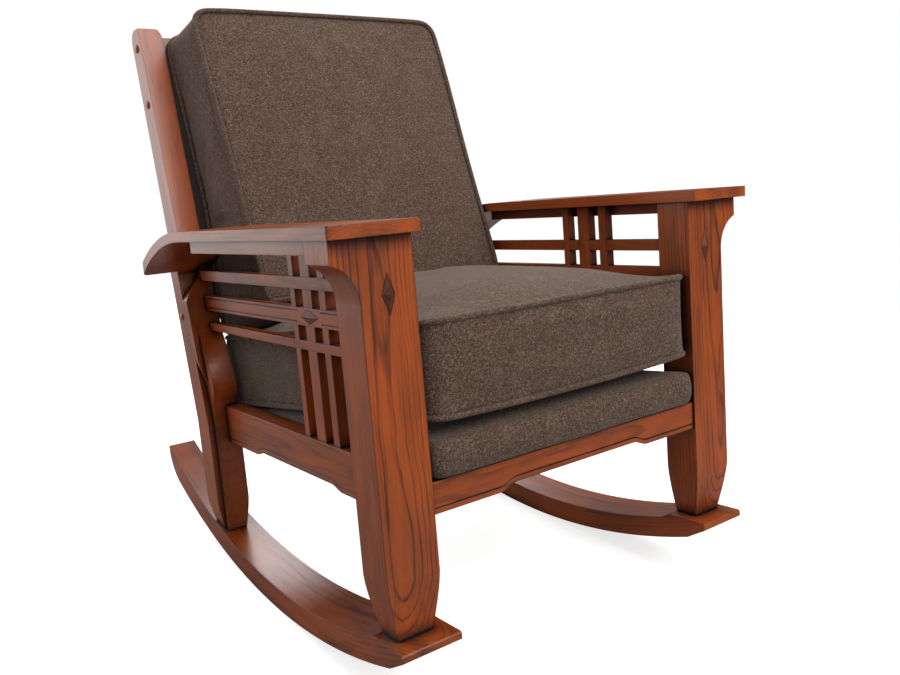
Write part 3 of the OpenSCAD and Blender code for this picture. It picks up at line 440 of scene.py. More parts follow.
@dataclass(frozen=True)
class WoodFinish:
    """Stained and glazed open-pored wood under a satin lacquer.

    Args:
        light: Colour of the early wood.
        dark: Colour of the late wood.
        pore: Colour in the pores.
        glaze_and_shade: Colour of the glaze along edges, and of the painted shade in corners and in
            grooves.
        tone: Brightness of the whole.
        roughness: Roughness of the lacquer.
        coat: Weight of the clear coat.
        coat_roughness: Its roughness.
        ring: Width of a growth ring, in metres.
        late: Where in a ring the late wood comes up.
        ring_end: Where in a ring it drops off.
        shift: How far the figure moves along the grain from piece to piece, in metres.
        spread: How far the heart moves sideways from piece to piece, in metres.
        sway: Slow noise that bends the rings.
        sway_side: How far it moves the heart sideways, in metres.
        sway_deep: How far it moves the heart in depth, in metres.
        wave: Rate along the grain, turn from piece to piece and depth of the rings' slow wave.
        ragged: Fine noise on the rings, and how much of a ring it moves them.
        patch: Noise by which the rings fade, where they do, and by how much.
        streak: Noise of the pores.
        pores_in: Where in it the pores lie.
        pores_early: Weight of the pores in the early wood.
        pores_late: What the late wood adds to it.
        cloud: Slow noise of the stain, its middle, and its weight.
        mottle: Finer noise of the stain, its middle, and its weight.
        line_dark: How dark the late wood is.
        pore_dark: How dark the pores are.
        corner: Painted shade in corners, which stands also for glaze there.
        groove: Painted shade in grooves, which stands also for glaze there.
        edge: Width of the rounded edges, in metres.
        edge_dark: How dark the glaze along them is.
        worn: Scale, octaves and roughness of the noise by which it is worn.
        worn_in: Where in the noise it is whole.
        worn_share: Weight of the noise, and what is left where the glaze is worn.
        pore_rough: Roughness that the pores add.
        cloud_rough: Roughness that the stain's clouds add.
        relief: Weights of the pores and of the late wood in the relief.
        relief_strength: How strongly the relief is felt.
        relief_depth: Its depth, in metres.
        bevel_samples: Rays for the rounded edges.
    """

    light: Colour = (0.385, 0.074, 0.0095)
    dark: Colour = (0.082, 0.022, 0.0095)
    pore: Colour = (0.034, 0.008, 0.003)
    glaze_and_shade: Colour = (0.012, 0.004, 0.003)
    tone: float = 1.0
    roughness: float = 0.34
    coat: float = 0.35
    coat_roughness: float = 0.20
    ring: float = 0.0060
    late: Span = (0.66, 0.94)
    ring_end: Span = (0.94, 1.0)
    shift: float = 3.0
    spread: float = 0.030
    sway: Cloud = Cloud(4.0, 1.3, 3.0, 2.0, 0.45)
    sway_side: float = 0.024
    sway_deep: float = 0.016
    wave: Tuple[float, float, float] = (2.2, 5.0, 0.011)
    ragged: Tuple[Cloud, float] = (Cloud(60.0, 5.0, 3.0), 0.22)
    patch: Tuple[Cloud, Span, float] = (Cloud(9.0, 3.2, twist=0.5), (0.34, 0.60), 0.65)
    streak: Cloud = Cloud(270.0, 5.5, detail=4.0, rough=0.65)
    pores_in: Span = (0.50, 0.66)
    pores_early: float = 0.40
    pores_late: float = 0.8
    cloud: Tuple[Cloud, float, float] = (Cloud(12.0, 2.0, 1.6, rough=0.55), 0.41, 1.9)
    mottle: Tuple[Cloud, float, float] = (Cloud(34.0, 9.0), 0.5, 0.9)
    line_dark: float = 0.66
    pore_dark: float = 0.75
    corner: Shade = Shade(0.028, 1.7, 1.2)
    groove: Shade = Shade(0.0045, 2.6)
    edge: float = 0.0028
    edge_dark: float = 6.0
    worn: Tuple[float, float, float] = (70.0, 3.0, 0.6)
    worn_in: Span = (0.34, 0.60)
    worn_share: Tuple[float, float] = (0.45, 0.40)
    pore_rough: float = 0.16
    cloud_rough: float = 0.12
    relief: Tuple[float, float] = (0.8, 0.2)
    relief_strength: float = 0.30
    relief_depth: float = 0.0004
    bevel_samples: int = 4

    def material(self, name: str, board: Board, middle: Vector) -> bpy.types.Material:
        """The finish on one board.

        Args:
            name: The piece's name, which also moves the figure from piece to piece.
            board: How the board is cut.
            middle: The middle of the piece.

        Returns:
            The material.
        """
        g = Graph.material(f"wood {name}")
        seed = piece_seed(name)
        across, deep, along = self._in_board(g, board, middle)
        where = (across, deep, along + seed * self.shift)
        line = self._rings(g, board, where, seed)
        streak = g.step(self.streak.at(g, *where), self.pores_in)
        pores = streak * (self.pores_early + line * self.pores_late) * board.figure
        cloud, cloud_middle, cloud_weight = self.cloud
        clouds = cloud.at(g, *where)
        mottle, mottle_middle, mottle_weight = self.mottle
        stain = (clouds - cloud_middle) * cloud_weight
        stain = stain + (mottle.at(g, *where) - mottle_middle) * mottle_weight
        colour = g.mix(g.clamp(line * self.line_dark + stain), self.light, self.dark)
        colour = g.mix(g.clamp(pores * self.pore_dark), colour, self.pore)
        # painted shade in corners and in grooves, from an occlusion estimate, standing also for
        # glaze
        for shade in (self.corner, self.groove):
            colour = g.mix(shade.share(g), colour, self.glaze_and_shade)
        rounded = g.node("Bevel", {"samples": self.bevel_samples}, {"Radius": self.edge})
        colour = g.mix(self._edge_glaze(g, rounded), colour, self.glaze_and_shade)
        pore_relief, line_relief = self.relief
        height = pores * -pore_relief - line * line_relief
        roughness = self.roughness + pores * self.pore_rough + (clouds - 0.5) * self.cloud_rough
        return g.finish(
            {
                "Base Color": g.times(colour, (self.tone,) * 3),
                "Roughness": g.clamp(roughness),
                "Coat Weight": self.coat,
                "Coat Roughness": self.coat_roughness,
                "Normal": g.bump(height, self.relief_strength, self.relief_depth, rounded),
            }
        )

    def _in_board(self, g: Graph, board: Board, middle: Vector) -> Tuple[Socket, Socket, Socket]:
        """The shaded point across the board, through it and along its grain.

        Args:
            g: The material's tree.
            board: How the board is cut.
            middle: The middle of the piece.

        Returns:
            The three places, in metres.
        """
        p = g.minus(g.place(), middle)
        across = g.dot(p, board.across.vector)
        if not board.bent:
            return across, g.dot(p, board.through.vector), g.dot(p, board.along.vector)
        centre = CHAIR.point(0, CHAIR.runner_low_y, CHAIR.arc_z)
        q = g.minus(g.place(), centre)
        back, down = g.dot(q, Way.BACK.vector), g.dot(q, -Way.UP.vector)
        along = g.math("ARCTAN2", back, down) * (CHAIR.runner_r * MM)
        middle_r = (CHAIR.runner_r - CHAIR.runner_t / 2) * MM
        return across, g.math("SQRT", back * back + down * down) - middle_r, along

    def _rings(
        self, g: Graph, board: Board, where: Tuple[Socket, Socket, Socket], seed: float
    ) -> Socket:
        """The late wood of the growth rings.

        Args:
            g: The material's tree.
            board: How the board is cut.
            where: The place across, through and along the board.
            seed: The piece's own number, from 0 to 1.

        Returns:
            From 0 in the early wood to the board's figure in the late wood.
        """
        across, deep, along = where
        sway = self.sway.at(g, *where) - 0.5
        rate, turn, wave = self.wave
        side = across + sway * self.sway_side + (seed - 0.5) * self.spread
        depth = deep + board.heart + sway * self.sway_deep
        depth = depth + g.math("SINE", along * rate + seed * turn) * wave
        radius = g.math("SQRT", side * side + depth * depth)
        ragged, ragged_share = self.ragged
        ring = g.math("FRACT", radius / self.ring + ragged.at(g, *where) * ragged_share)
        line = g.step(ring, self.late) * (1.0 - g.step(ring, self.ring_end))
        patch, fades, fading = self.patch
        return line * (g.step(patch.at(g, *where), fades) * fading + (1.0 - fading)) * board.figure

    def _edge_glaze(self, g: Graph, rounded: Socket) -> Socket:
        """How much glaze lies along the edges, worn off in places.

        Args:
            g: The material's tree.
            rounded: The normal with its edges rounded.

        Returns:
            From 0 on the faces to 1.
        """
        flat = g.node("NewGeometry", {}, {}, "Normal")
        same = g.node("VectorMath", {"operation": "DOT_PRODUCT"}, {0: rounded, 1: flat}, "Value")
        weight, least = self.worn_share
        worn = g.step(g.noise(g.place(), *self.worn), self.worn_in) * weight + least
        return g.clamp((1.0 - same) * self.edge_dark) * worn


@dataclass(frozen=True)
class FabricFinish:
    """A woven chenille with light and dark flecks.

    Args:
        base: Colour of the pile.
        light: Colour of the loose light yarns.
        dark: Colour between the tufts, and of the painted shade in folds and beside the piping.
        grain: How fine the tufts are.
        drawn: How much the tufts are drawn out along the yarns.
        tuft: Octaves, roughness and twist of the tufts' noise.
        tufts_in: Where in it the pile is dark and where it is whole.
        curl: Scale against the tufts', octaves, roughness and twist of the yarns' noise.
        slant: How much the loose yarns slant.
        yarn: Half width of a loose yarn in its noise, full and fading.
        yarns_in: Where in a coarser noise the loose yarns lie.
        yarns_scale: Scale of that noise against the tufts'.
        yarn_weight: How light the loose yarns are.
        patch: Scale, octaves and roughness of the noise of the worn patches.
        patch_weight: How light they are.
        painted_fold_shade: Painted shade in folds and beside the piping.
        heights: Weights of the tufts and of the loose yarns in the relief.
        relief: Depth of the relief, in metres.
        relief_strength: How strongly the relief is felt.
        sheen: Weight of the sheen.
        sheen_roughness: Its roughness.
        sheen_tint: Its colour.
        specular: Level of the plain reflection.
        roughness: Roughness of the cloth.
    """

    base: Colour = (0.118, 0.074, 0.053)
    light: Colour = (0.340, 0.250, 0.205)
    dark: Colour = (0.034, 0.020, 0.014)
    grain: float = 470.0
    drawn: float = 0.8
    tuft: Tuple[float, float, float] = (3.0, 0.7, 0.5)
    tufts_in: Span = (0.36, 0.62)
    curl: Tuple[float, float, float, float] = (0.55, 1.0, 0.5, 1.4)
    slant: float = 0.3
    yarn: Span = (0.010, 0.045)
    yarns_in: Span = (0.44, 0.60)
    yarns_scale: float = 0.5
    yarn_weight: float = 0.60
    patch: Tuple[float, float, float] = (22.0, 3.0, 0.6)
    patch_weight: float = 0.35
    painted_fold_shade: Shade = Shade(0.009, 1.5, start=0.10)
    heights: Tuple[float, float] = (0.7, 0.3)
    relief: float = 0.0011
    relief_strength: float = 0.55
    sheen: float = 0.25
    sheen_roughness: float = 0.45
    sheen_tint: Colour = (0.95, 0.85, 0.78)
    specular: float = 0.15
    roughness: float = 0.95

    def material(self, name: str, run: Vector) -> bpy.types.Material:
        """The cloth.

        Args:
            name: The material's name.
            run: Direction along which the short yarns lie.

        Returns:
            The material.
        """
        g = Graph.material(name)
        p = g.place()
        up = run.orthogonal().normalized()
        x, y, z = g.dot(p, run), g.dot(p, up), g.dot(p, run.cross(up))
        weave = g.vector(x * self.drawn, y, z)
        tufts = g.noise(weave, self.grain, *self.tuft)
        curl_scale, *curl = self.curl
        curls = g.noise(g.vector(x + y * self.slant, y, z), self.grain * curl_scale, *curl)
        yarns = 1.0 - g.step(g.math("ABSOLUTE", curls - 0.5), self.yarn)
        yarns = yarns * g.step(g.noise(weave, self.grain * self.yarns_scale, 1.0), self.yarns_in)
        patches = (g.noise(p, *self.patch) - 0.5) * self.patch_weight
        colour = g.mix(g.step(tufts, self.tufts_in), self.dark, self.base)
        colour = g.mix(yarns * self.yarn_weight, colour, self.light)
        colour = g.mix(g.clamp(patches), colour, self.light)
        # painted shade in folds and beside the piping, from an occlusion estimate
        colour = g.mix(self.painted_fold_shade.share(g), colour, self.dark)
        tuft_height, yarn_height = self.heights
        height = tufts * tuft_height + yarns * yarn_height
        return g.finish(
            {
                "Base Color": colour,
                "Roughness": self.roughness,
                "Sheen Weight": self.sheen,
                "Sheen Roughness": self.sheen_roughness,
                "Sheen Tint": (*self.sheen_tint, 1.0),
                "Specular IOR Level": self.specular,
                "Normal": g.bump(height, self.relief_strength, self.relief),
            }
        )


@dataclass(frozen=True)
class LiningFinish:
    """Matt black lining cloth and webbing.

    Args:
        colour: Colour between the threads.
        thread: Brightness of the threads against it.
        grain: How fine the threads are.
        roughness: Roughness of the cloth.
        relief: Strength and depth of the threads' relief.
    """

    colour: Colour = (0.016, 0.014, 0.013)
    thread: float = 2.4
    grain: float = 900.0
    roughness: float = 0.9
    relief: Tuple[float, float] = (0.3, 0.0003)

    def material(self, name: str) -> bpy.types.Material:
        """The lining."""
        g = Graph.material(name)
        threads = g.noise(g.place(), self.grain, 1.0)
        colour = g.mix(threads, self.colour, tuple(c * self.thread for c in self.colour))
        normal = g.bump(threads, *self.relief)
        return g.finish({"Base Color": colour, "Roughness": self.roughness, "Normal": normal})


@dataclass(frozen=True)
class SteelFinish:
    """Plain zinc plated steel of screws and springs.

    Args:
        colour: Colour of the plating.
        roughness: Its least roughness.
        spots: How fine its spots are, and the roughness that they add.
    """

    colour: Colour = (0.55, 0.55, 0.56)
    roughness: float = 0.28
    spots: Tuple[float, float] = (240.0, 0.2)

    def material(self, name: str) -> bpy.types.Material:
        """The steel."""
        g = Graph.material(name)
        fine, rough = self.spots
        roughness = g.noise(g.place(), fine) * rough + self.roughness
        plating = {"Base Color": (*self.colour, 1.0), "Metallic": 1.0, "Roughness": roughness}
        return g.finish(plating)


# ---------------------------------------------------------------- the wooden chair
def middle_of(node: str) -> Vector:
    """Middle of a CAD node, in the part's frame."""
    low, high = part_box(node)
    return (low + high) / 2


def cover_with(obj: bpy.types.Object, material: bpy.types.Material) -> None:
    """Gives an object one material."""
    obj.data.materials.clear()
    obj.data.materials.append(material)


@dataclass
class WoodenChair:
    """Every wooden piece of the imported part, with grain that suits its board.

    Args:
        wood: Finish of the boards.
        plug: Finish of the screw plugs.
        diamond: Finish of the raised diamonds.
        inner: Finish of the bare wood under the seat.
    """

    wood: WoodFinish = WoodFinish()
    plug: WoodFinish = WoodFinish(glaze_and_shade=(0.05, 0.014, 0.007), edge=0.0012)
    diamond: WoodFinish = WoodFinish(tone=0.42, roughness=0.46, coat=0.12, edge=0.0010)
    inner: WoodFinish = WoodFinish(
        light=(0.55, 0.36, 0.19),
        dark=(0.38, 0.22, 0.10),
        glaze_and_shade=(0.1, 0.06, 0.03),
        coat=0.0,
        roughness=0.7,
    )

    BOARDS = {
        "front_leg": Board(Way.UP, Way.SIDEWAYS, Way.BACK, 0.092, figure=1.0),
        "rear_leg": Board(Way.POST, Way.SIDEWAYS, Way.OFF_POST, 0.15, figure=0.45),
        "rocker": Board(Way.BACK, Way.SIDEWAYS, Way.UP, 0.06, bent=True, figure=0.8),
        "arm": Board(Way.BACK, Way.SIDEWAYS, Way.UP, 0.085),
        "under_arm_rail": Board(Way.BACK, Way.SIDEWAYS, Way.UP),
        "side_rail": Board(Way.BACK, Way.UP, Way.SIDEWAYS, 0.065),
        "upper_slat": Board(Way.BACK, Way.UP, Way.SIDEWAYS, 0.11),
        "middle_slat": Board(Way.BACK, Way.UP, Way.SIDEWAYS, 0.11),
        "lower_slat": Board(Way.BACK, Way.UP, Way.SIDEWAYS, 0.11),
        "rear_upright": Board(Way.UP, Way.BACK, Way.SIDEWAYS, 0.11),
        "center_upright": Board(Way.UP, Way.BACK, Way.SIDEWAYS, 0.11),
        "front_upright": Board(Way.UP, Way.BACK, Way.SIDEWAYS, 0.11),
        "front_rail": Board(Way.SIDEWAYS, Way.UP, Way.BACK, 0.11),
        "rear_rail": Board(Way.SIDEWAYS, Way.UP, Way.BACK, 0.07),
        "crest_rail": Board(Way.SIDEWAYS, Way.UP, Way.BACK, 0.07),
        "middle_back_rail": Board(Way.SIDEWAYS, Way.UP, Way.BACK, 0.07),
        "lower_back_rail": Board(Way.SIDEWAYS, Way.BACK, Way.UP, 0.07),
    }
    PLUGS = {
        "screw_plugs": Board(Way.UP, Way.BACK, Way.SIDEWAYS, 0.04),
    }
    DIAMONDS = {
        "leg_diamond": Board(Way.UP, Way.SIDEWAYS, Way.BACK, 0.05),
        "slat_diamond": Board(Way.BACK, Way.UP, Way.SIDEWAYS, 0.05),
    }
    INNER = {
        "corner_blocks": Board(Way.SIDEWAYS, Way.BACK, Way.UP),
        "seat_frame": Board(Way.SIDEWAYS, Way.BACK, Way.UP),
    }

    def dress(self, nodes: Dict[str, bpy.types.Object]) -> List[str]:
        """Gives every wooden node its own board of wood.

        Args:
            nodes: The CAD nodes by name.

        Returns:
            The names of the nodes that were dressed.
        """
        done = []
        tables = (
            (self.wood, self.BOARDS),
            (self.plug, self.PLUGS),
            (self.diamond, self.DIAMONDS),
            (self.inner, self.INNER),
        )
        for finish, boards in tables:
            for stem, board in boards.items():
                for name in sorted(nodes):
                    if name == stem or name.rsplit("_", 1)[0] == stem:
                        cover_with(nodes[name], finish.material(name, board, middle_of(name)))
                        log.info("%s: wood along %s", name, board.along.name.lower())
                        done.append(name)
        return done


@dataclass
class Fittings:
    """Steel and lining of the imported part.

    Args:
        steel: Finish of the screws and springs.
        lining: Finish of the black cloth and webbing.
    """

    steel: SteelFinish = SteelFinish()
    lining: LiningFinish = LiningFinish()
    STEEL = ("rail_screws", "rocker_screws", "seat_springs")
    LINING = ("back_cloth", "back_straps", "dust_cover")

    def dress(self, nodes: Dict[str, bpy.types.Object]) -> List[str]:
        """Gives the steel and the black cloth their materials.

        Args:
            nodes: The CAD nodes by name.

        Returns:
            The names of the nodes that were dressed.
        """
        steel = self.steel.material("zinc plated steel")
        lining = self.lining.material("black lining")
        for names, material in ((self.STEEL, steel), (self.LINING, lining)):
            for name in names:
                cover_with(nodes[name], material)
                log.info("%s: %s", name, material.name)
        return [*self.STEEL, *self.LINING]


# ---------------------------------------------------------------- upholstery
CORNER_STEPS, SIDE_STEPS = 8, 14  # points of a seam around a corner and along a side
SEAM_STEPS = tuple(i / 4 for i in range(4))  # places between two points of a seam
TINY = 1e-9  # keeps a division from failing


def rise(share: np.ndarray) -> np.ndarray:
    """A smooth rise from 0 to 1, as its share goes from 0 to 1."""
    return share * share * (3 - 2 * share)


def outline(rx: float, ry: float, low: float = 1.0) -> List[Tuple[float, float, float, float]]:
    """A rectangle with round corners.

    Args:
        rx: Radius of the corners as a share of half the width.
        ry: Radius of the corners as a share of half the height.
        low: How much tighter the two lower corners are.

    Returns:
        Points as (x, y, way out in x, way out in y), x and y from -1 to 1.
    """
    points = []
    for q in range(4):
        k, m = (low if (q + i) % 4 > 1 else 1.0 for i in (0, 1))
        cx, cy = (1 if q in (0, 3) else -1) * (1 - rx * k), (1 if q < 2 else -1) * (1 - ry * k)
        dx, dy = (1 if q > 1 else -1) * (1 - rx * m), (1 if q in (0, 3) else -1) * (1 - ry * m)
        for i in range(CORNER_STEPS):
            a = math.radians(90 * (q + i / CORNER_STEPS))
            c, s = math.cos(a), math.sin(a)
            points.append((cx + rx * k * c, cy + ry * k * s, c, s))
        a = math.radians(90 * (q + 1))
        c, s = math.cos(a), math.sin(a)
        for i in range(SIDE_STEPS):
            t = i / SIDE_STEPS
            n = k + (m - k) * t
            points.append((cx + (dx - cx) * t + rx * n * c, cy + (dy - cy) * t + ry * n * s, c, s))
    return points


CLOTH = {
    "quality": 4,
    "mass": 0.35,
    "tension_stiffness": 12,
    "compression_stiffness": 8,
    "shear_stiffness": 6,
    "bending_stiffness": 3,
    "use_pressure": True,
}
CLOTH_FRAMES = 20  # steps in which the cloth is blown up
PARTS = 40  # lots in which distances are measured, to save memory
LINE_SMOOTHINGS = 3  # times that a seam's line is evened out
CORD_ROUNDNESS = 2  # how round the piping is, as Blender counts it


@dataclass
class SoftPiece:
    """A stuffed piece that stands for a CAD solid.

    Args:
        node: The CAD node that it replaces.
        body: The CAD body that it moves with.
        fill: From 0, slack, to 1, full and tight; not used.
        voxel: Size of the cloth's mesh while it is blown up, in metres.
        pressure: Pressure in the cloth.
        swell: Most that a point of the cloth moves out, in metres.
        pins: Distance from a seam within which the cloth is held, in metres.
        dent: Depth of the shallow hollows in the stuffing, in metres.
        dent_rates: How close together the wide and the small hollows lie.
        dent_small: Weight of the small hollows.
        pinch: Depth of the groove along a seam, in metres.
        groove: Half width of that groove, in metres.
        pucker: How uneven the groove is.
        pucker_rate: How close together its puckers lie.
        ease: Distance from a seam over which the cloth starts to swell, in metres.
        reach: How far from its line a seam is looked for on the cover, in metres.
        cord: Radius of the piping, in metres.
        cord_proud: How far the piping's middle stands out, as a share of that radius.
        widest: Farthest that a seam lies from the chair's middle plane, in millimetres.
    """

    node: str
    body: str
    fill: float
    voxel: float
    pressure: float
    swell: float
    pins: float = 0.006
    dent: float = 0.0030
    dent_rates: Span = (6.5, 19.0)
    dent_small: float = 0.4
    pinch: float = 0.0016
    groove: float = 0.0085
    pucker: float = 0.5
    pucker_rate: float = 46.0
    ease: float = 0.012
    reach: float = 0.022
    cord: float = 0.0052
    cord_proud: float = 0.2
    widest: float = 293.5

    def seams(self) -> List[np.ndarray]:
        """Closed lines of points along which the piping runs, in the part's frame."""
        raise NotImplementedError

    def room(self, co: np.ndarray, start: np.ndarray) -> np.ndarray:
        """Holds the cloth inside the room that its neighbours leave.

        Args:
            co: Places of the blown up cloth, one a row, in the upright chair.
            start: The same places before it was blown up.

        Returns:
            The places, held.
        """
        raise NotImplementedError

    def settle(self, co: np.ndarray) -> np.ndarray:
        """Moves places of the cover and its seams to where the stuffing pushes them."""
        return co

    def build(
        self, nodes: Dict[str, bpy.types.Object], cloth: bpy.types.Material
    ) -> List[bpy.types.Object]:
        """Models the piece and its piping.

        Args:
            nodes: The CAD nodes by name.
            cloth: The cover's material.

        Returns:
            The cover and its piping.
        """
        cover = bpy.data.objects.new(f"{self.node}_cover", nodes[self.node].data.copy())
        bpy.context.collection.objects.link(cover)
        self._remesh(cover)
        start = coordinates(cover)
        lines = self.seams()
        if self.pressure:
            self._blow_up(cover, lines)
        self._hold(cover, start, lines)
        rows = [self.settle(CHAIR.to_chair(line)) for line in lines]
        settled = self._lay(cover, [CHAIR.to_part(row) for row in rows])
        self._wrinkle(cover, settled)
        smooth(cover)
        pipings = [
            tube(f"{self.node}_piping_{i + 1}", line, self.cord) for i, line in enumerate(settled)
        ]
        for obj in (cover, *pipings):
            cover_with(obj, cloth)
            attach(obj, self.body)
        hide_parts(self.node)
        return [cover, *pipings]

    def _hold(self, cover: bpy.types.Object, start: np.ndarray, lines: List[np.ndarray]) -> None:
        """Limits how far the cloth has moved, and settles it.

        Args:
            cover: The cover, blown up.
            start: Its places before that.
            lines: The points of each seam.
        """
        move = coordinates(cover) - start
        length = np.linalg.norm(move, axis=1, keepdims=True)
        move *= np.minimum(1.0, self.swell / np.maximum(length, TINY))
        move *= (1.0 - np.exp(-((seam_gaps(start, lines) / self.ease) ** 2)))[:, None]
        held = self.room(CHAIR.to_chair(start + move), CHAIR.to_chair(start))
        set_coordinates(cover, CHAIR.to_part(self.settle(held)))

    def _lay(self, cover: bpy.types.Object, lines: List[np.ndarray]) -> List[np.ndarray]:
        """Lays the two seams on the edges of the cover.

        Args:
            cover: The cover, blown up and settled.
            lines: The points of each seam.

        Returns:
            The same lines on the cover's surface, and no farther out than the neighbours allow.
        """
        faces = [tuple(face.vertices) for face in cover.data.polygons]
        tree = BVHTree.FromPolygons(coordinates(cover).tolist(), faces)
        laid = []
        for line, other in zip(lines, lines[::-1]):
            axis = unit(line.mean(axis=0) - other.mean(axis=0))
            side = np.cross(unit(np.roll(line, -1, axis=0) - np.roll(line, 1, axis=0)), axis)
            side *= np.sign((side * (line - line.mean(axis=0))).sum())
            way = unit(side + axis)
            on = line.copy()
            for i, (place, out) in enumerate(zip(line, way)):
                inside = Vector(place - out * self.reach)
                hit = tree.ray_cast(inside, Vector(out), 2 * self.reach)[0]
                if hit is not None:
                    on[i] = hit
            for _ in range(LINE_SMOOTHINGS):
                on = (np.roll(on, 1, axis=0) + 2 * on + np.roll(on, -1, axis=0)) / 4
            chair = CHAIR.to_chair(on + way * self.cord * self.cord_proud)
            chair[:, 0] = np.clip(chair[:, 0], -self.widest, self.widest)
            laid.append(CHAIR.to_part(chair))
        return laid

    def _wrinkle(self, cover: bpy.types.Object, lines: List[np.ndarray]) -> None:
        """Refines the cover once, then presses in its grooves and shallow hollows.

        Args:
            cover: The cover, settled.
            lines: The points of each seam on it.
        """
        cover.modifiers.new("fine", "SUBSURF").levels = 1
        apply_modifiers(cover)
        co = coordinates(cover)
        normals = np.empty(len(co) * 3)
        cover.data.vertices.foreach_get("normal", normals)
        normals = normals.reshape(-1, 3)
        near = np.exp(-((seam_gaps(co, lines) / self.groove) ** 2))
        wide, small = (noise_at(co, rate) for rate in self.dent_rates)
        pucker = 1.0 + self.pucker * noise_at(co, self.pucker_rate)
        most = 1.0 + self.dent_small
        swell = (wide + self.dent_small * small + most) / (2 * most)
        depth = self.pinch * pucker * near + self.dent * swell * (1.0 - near)
        set_coordinates(cover, co - normals * depth[:, None])

    def _remesh(self, cover: bpy.types.Object) -> None:
        """Gives the cover an even mesh."""
        change = cover.modifiers.new("even", "REMESH")
        change.mode = "VOXEL"
        change.voxel_size = self.voxel
        apply_modifiers(cover)

    def _blow_up(self, cover: bpy.types.Object, lines: List[np.ndarray]) -> None:
        """Blows the cover up as cloth that is held along its seams.

        Args:
            cover: The cover, evenly meshed.
            lines: The points of each seam.
        """
        group = cover.vertex_groups.new(name="held")
        co = coordinates(cover)
        held = np.zeros(len(co), bool)
        for line in lines:
            points = np.concatenate([line, (line + np.roll(line, -1, axis=0)) / 2])
            for part in np.array_split(np.arange(len(co)), PARTS):
                gap = np.linalg.norm(co[part, None, :] - points[None], axis=2).min(axis=1)
                held[part] |= gap < self.pins
        group.add([int(i) for i in np.nonzero(held)[0]], 1.0, "REPLACE")
        change = cover.modifiers.new("cloth", "CLOTH")
        for key, value in CLOTH.items():
            setattr(change.settings, key, value)
        change.settings.uniform_pressure_force = self.pressure
        change.settings.vertex_group_mass = group.name
        change.settings.effector_weights.gravity = 0
        change.collision_settings.use_collision = False
        change.point_cache.frame_start, change.point_cache.frame_end = 1, CLOTH_FRAMES
        scene = bpy.context.scene
        for step in range(1, CLOTH_FRAMES + 1):
            scene.frame_set(step)
        apply_modifiers(cover)
        scene.frame_set(1)


def unit(rows: np.ndarray) -> np.ndarray:
    """The same directions, each of length one."""
    return rows / np.maximum(np.linalg.norm(rows, axis=-1, keepdims=True), TINY)


def seam_gaps(co: np.ndarray, lines: List[np.ndarray]) -> np.ndarray:
    """How far each place lies from the nearest seam, or a metre where there is no seam."""
    runs = [run for line in lines for run in zip(line, np.roll(line, -1, axis=0))]
    points = [a + (b - a) * t for a, b in runs for t in SEAM_STEPS]
    if not points:
        return np.ones(len(co))
    tree = kdtree.KDTree(len(points))
    for i, point in enumerate(points):
        tree.insert(point, i)
    tree.balance()
    return np.array([tree.find(place)[2] for place in co])


def noise_at(co: np.ndarray, rate: float) -> np.ndarray:
    """Smooth noise from about -1 to 1 at each place, the finer the higher its rate."""
    return np.array([ripple.noise(Vector(place) * rate) for place in co])


def coordinates(obj: bpy.types.Object) -> np.ndarray:
    """The vertices of a mesh, one a row."""
    co = np.empty(len(obj.data.vertices) * 3)
    obj.data.vertices.foreach_get("co", co)
    return co.reshape(-1, 3)


def set_coordinates(obj: bpy.types.Object, co: np.ndarray) -> None:
    """Moves the vertices of a mesh."""
    obj.data.vertices.foreach_set("co", co.ravel())
    obj.data.update()


def apply_modifiers(obj: bpy.types.Object) -> None:
    """Makes the modified mesh the object's mesh."""
    graph = bpy.context.evaluated_depsgraph_get()
    mesh = bpy.data.meshes.new_from_object(obj.evaluated_get(graph))
    obj.modifiers.clear()
    obj.vertex_groups.clear()
    obj.data = mesh


def smooth(obj: bpy.types.Object) -> None:
    """Shades a mesh smoothly."""
    for polygon in obj.data.polygons:
        polygon.use_smooth = True


def tube(name: str, line: np.ndarray, radius: float) -> bpy.types.Object:
    """A closed round cord.

    Args:
        name: Its name.
        line: The points along its middle.
        radius: Its radius, in metres.

    Returns:
        The cord, as a mesh.
    """
    curve = bpy.data.curves.new(name, "CURVE")
    curve.dimensions = "3D"
    curve.bevel_depth = radius
    curve.bevel_resolution = CORD_ROUNDNESS
    spline = curve.splines.new("POLY")
    spline.points.add(len(line) - 1)
    for point, co in zip(spline.points, line):
        point.co = (*co, 1.0)
    spline.use_cyclic_u = True
    path = bpy.data.objects.new(name, curve)
    bpy.context.collection.objects.link(path)
    graph = bpy.context.evaluated_depsgraph_get()
    mesh = bpy.data.meshes.new_from_object(path.evaluated_get(graph))
    bpy.data.objects.remove(path)
    made = bpy.data.objects.new(name, mesh)
    bpy.context.collection.objects.link(made)
    smooth(made)
    return made


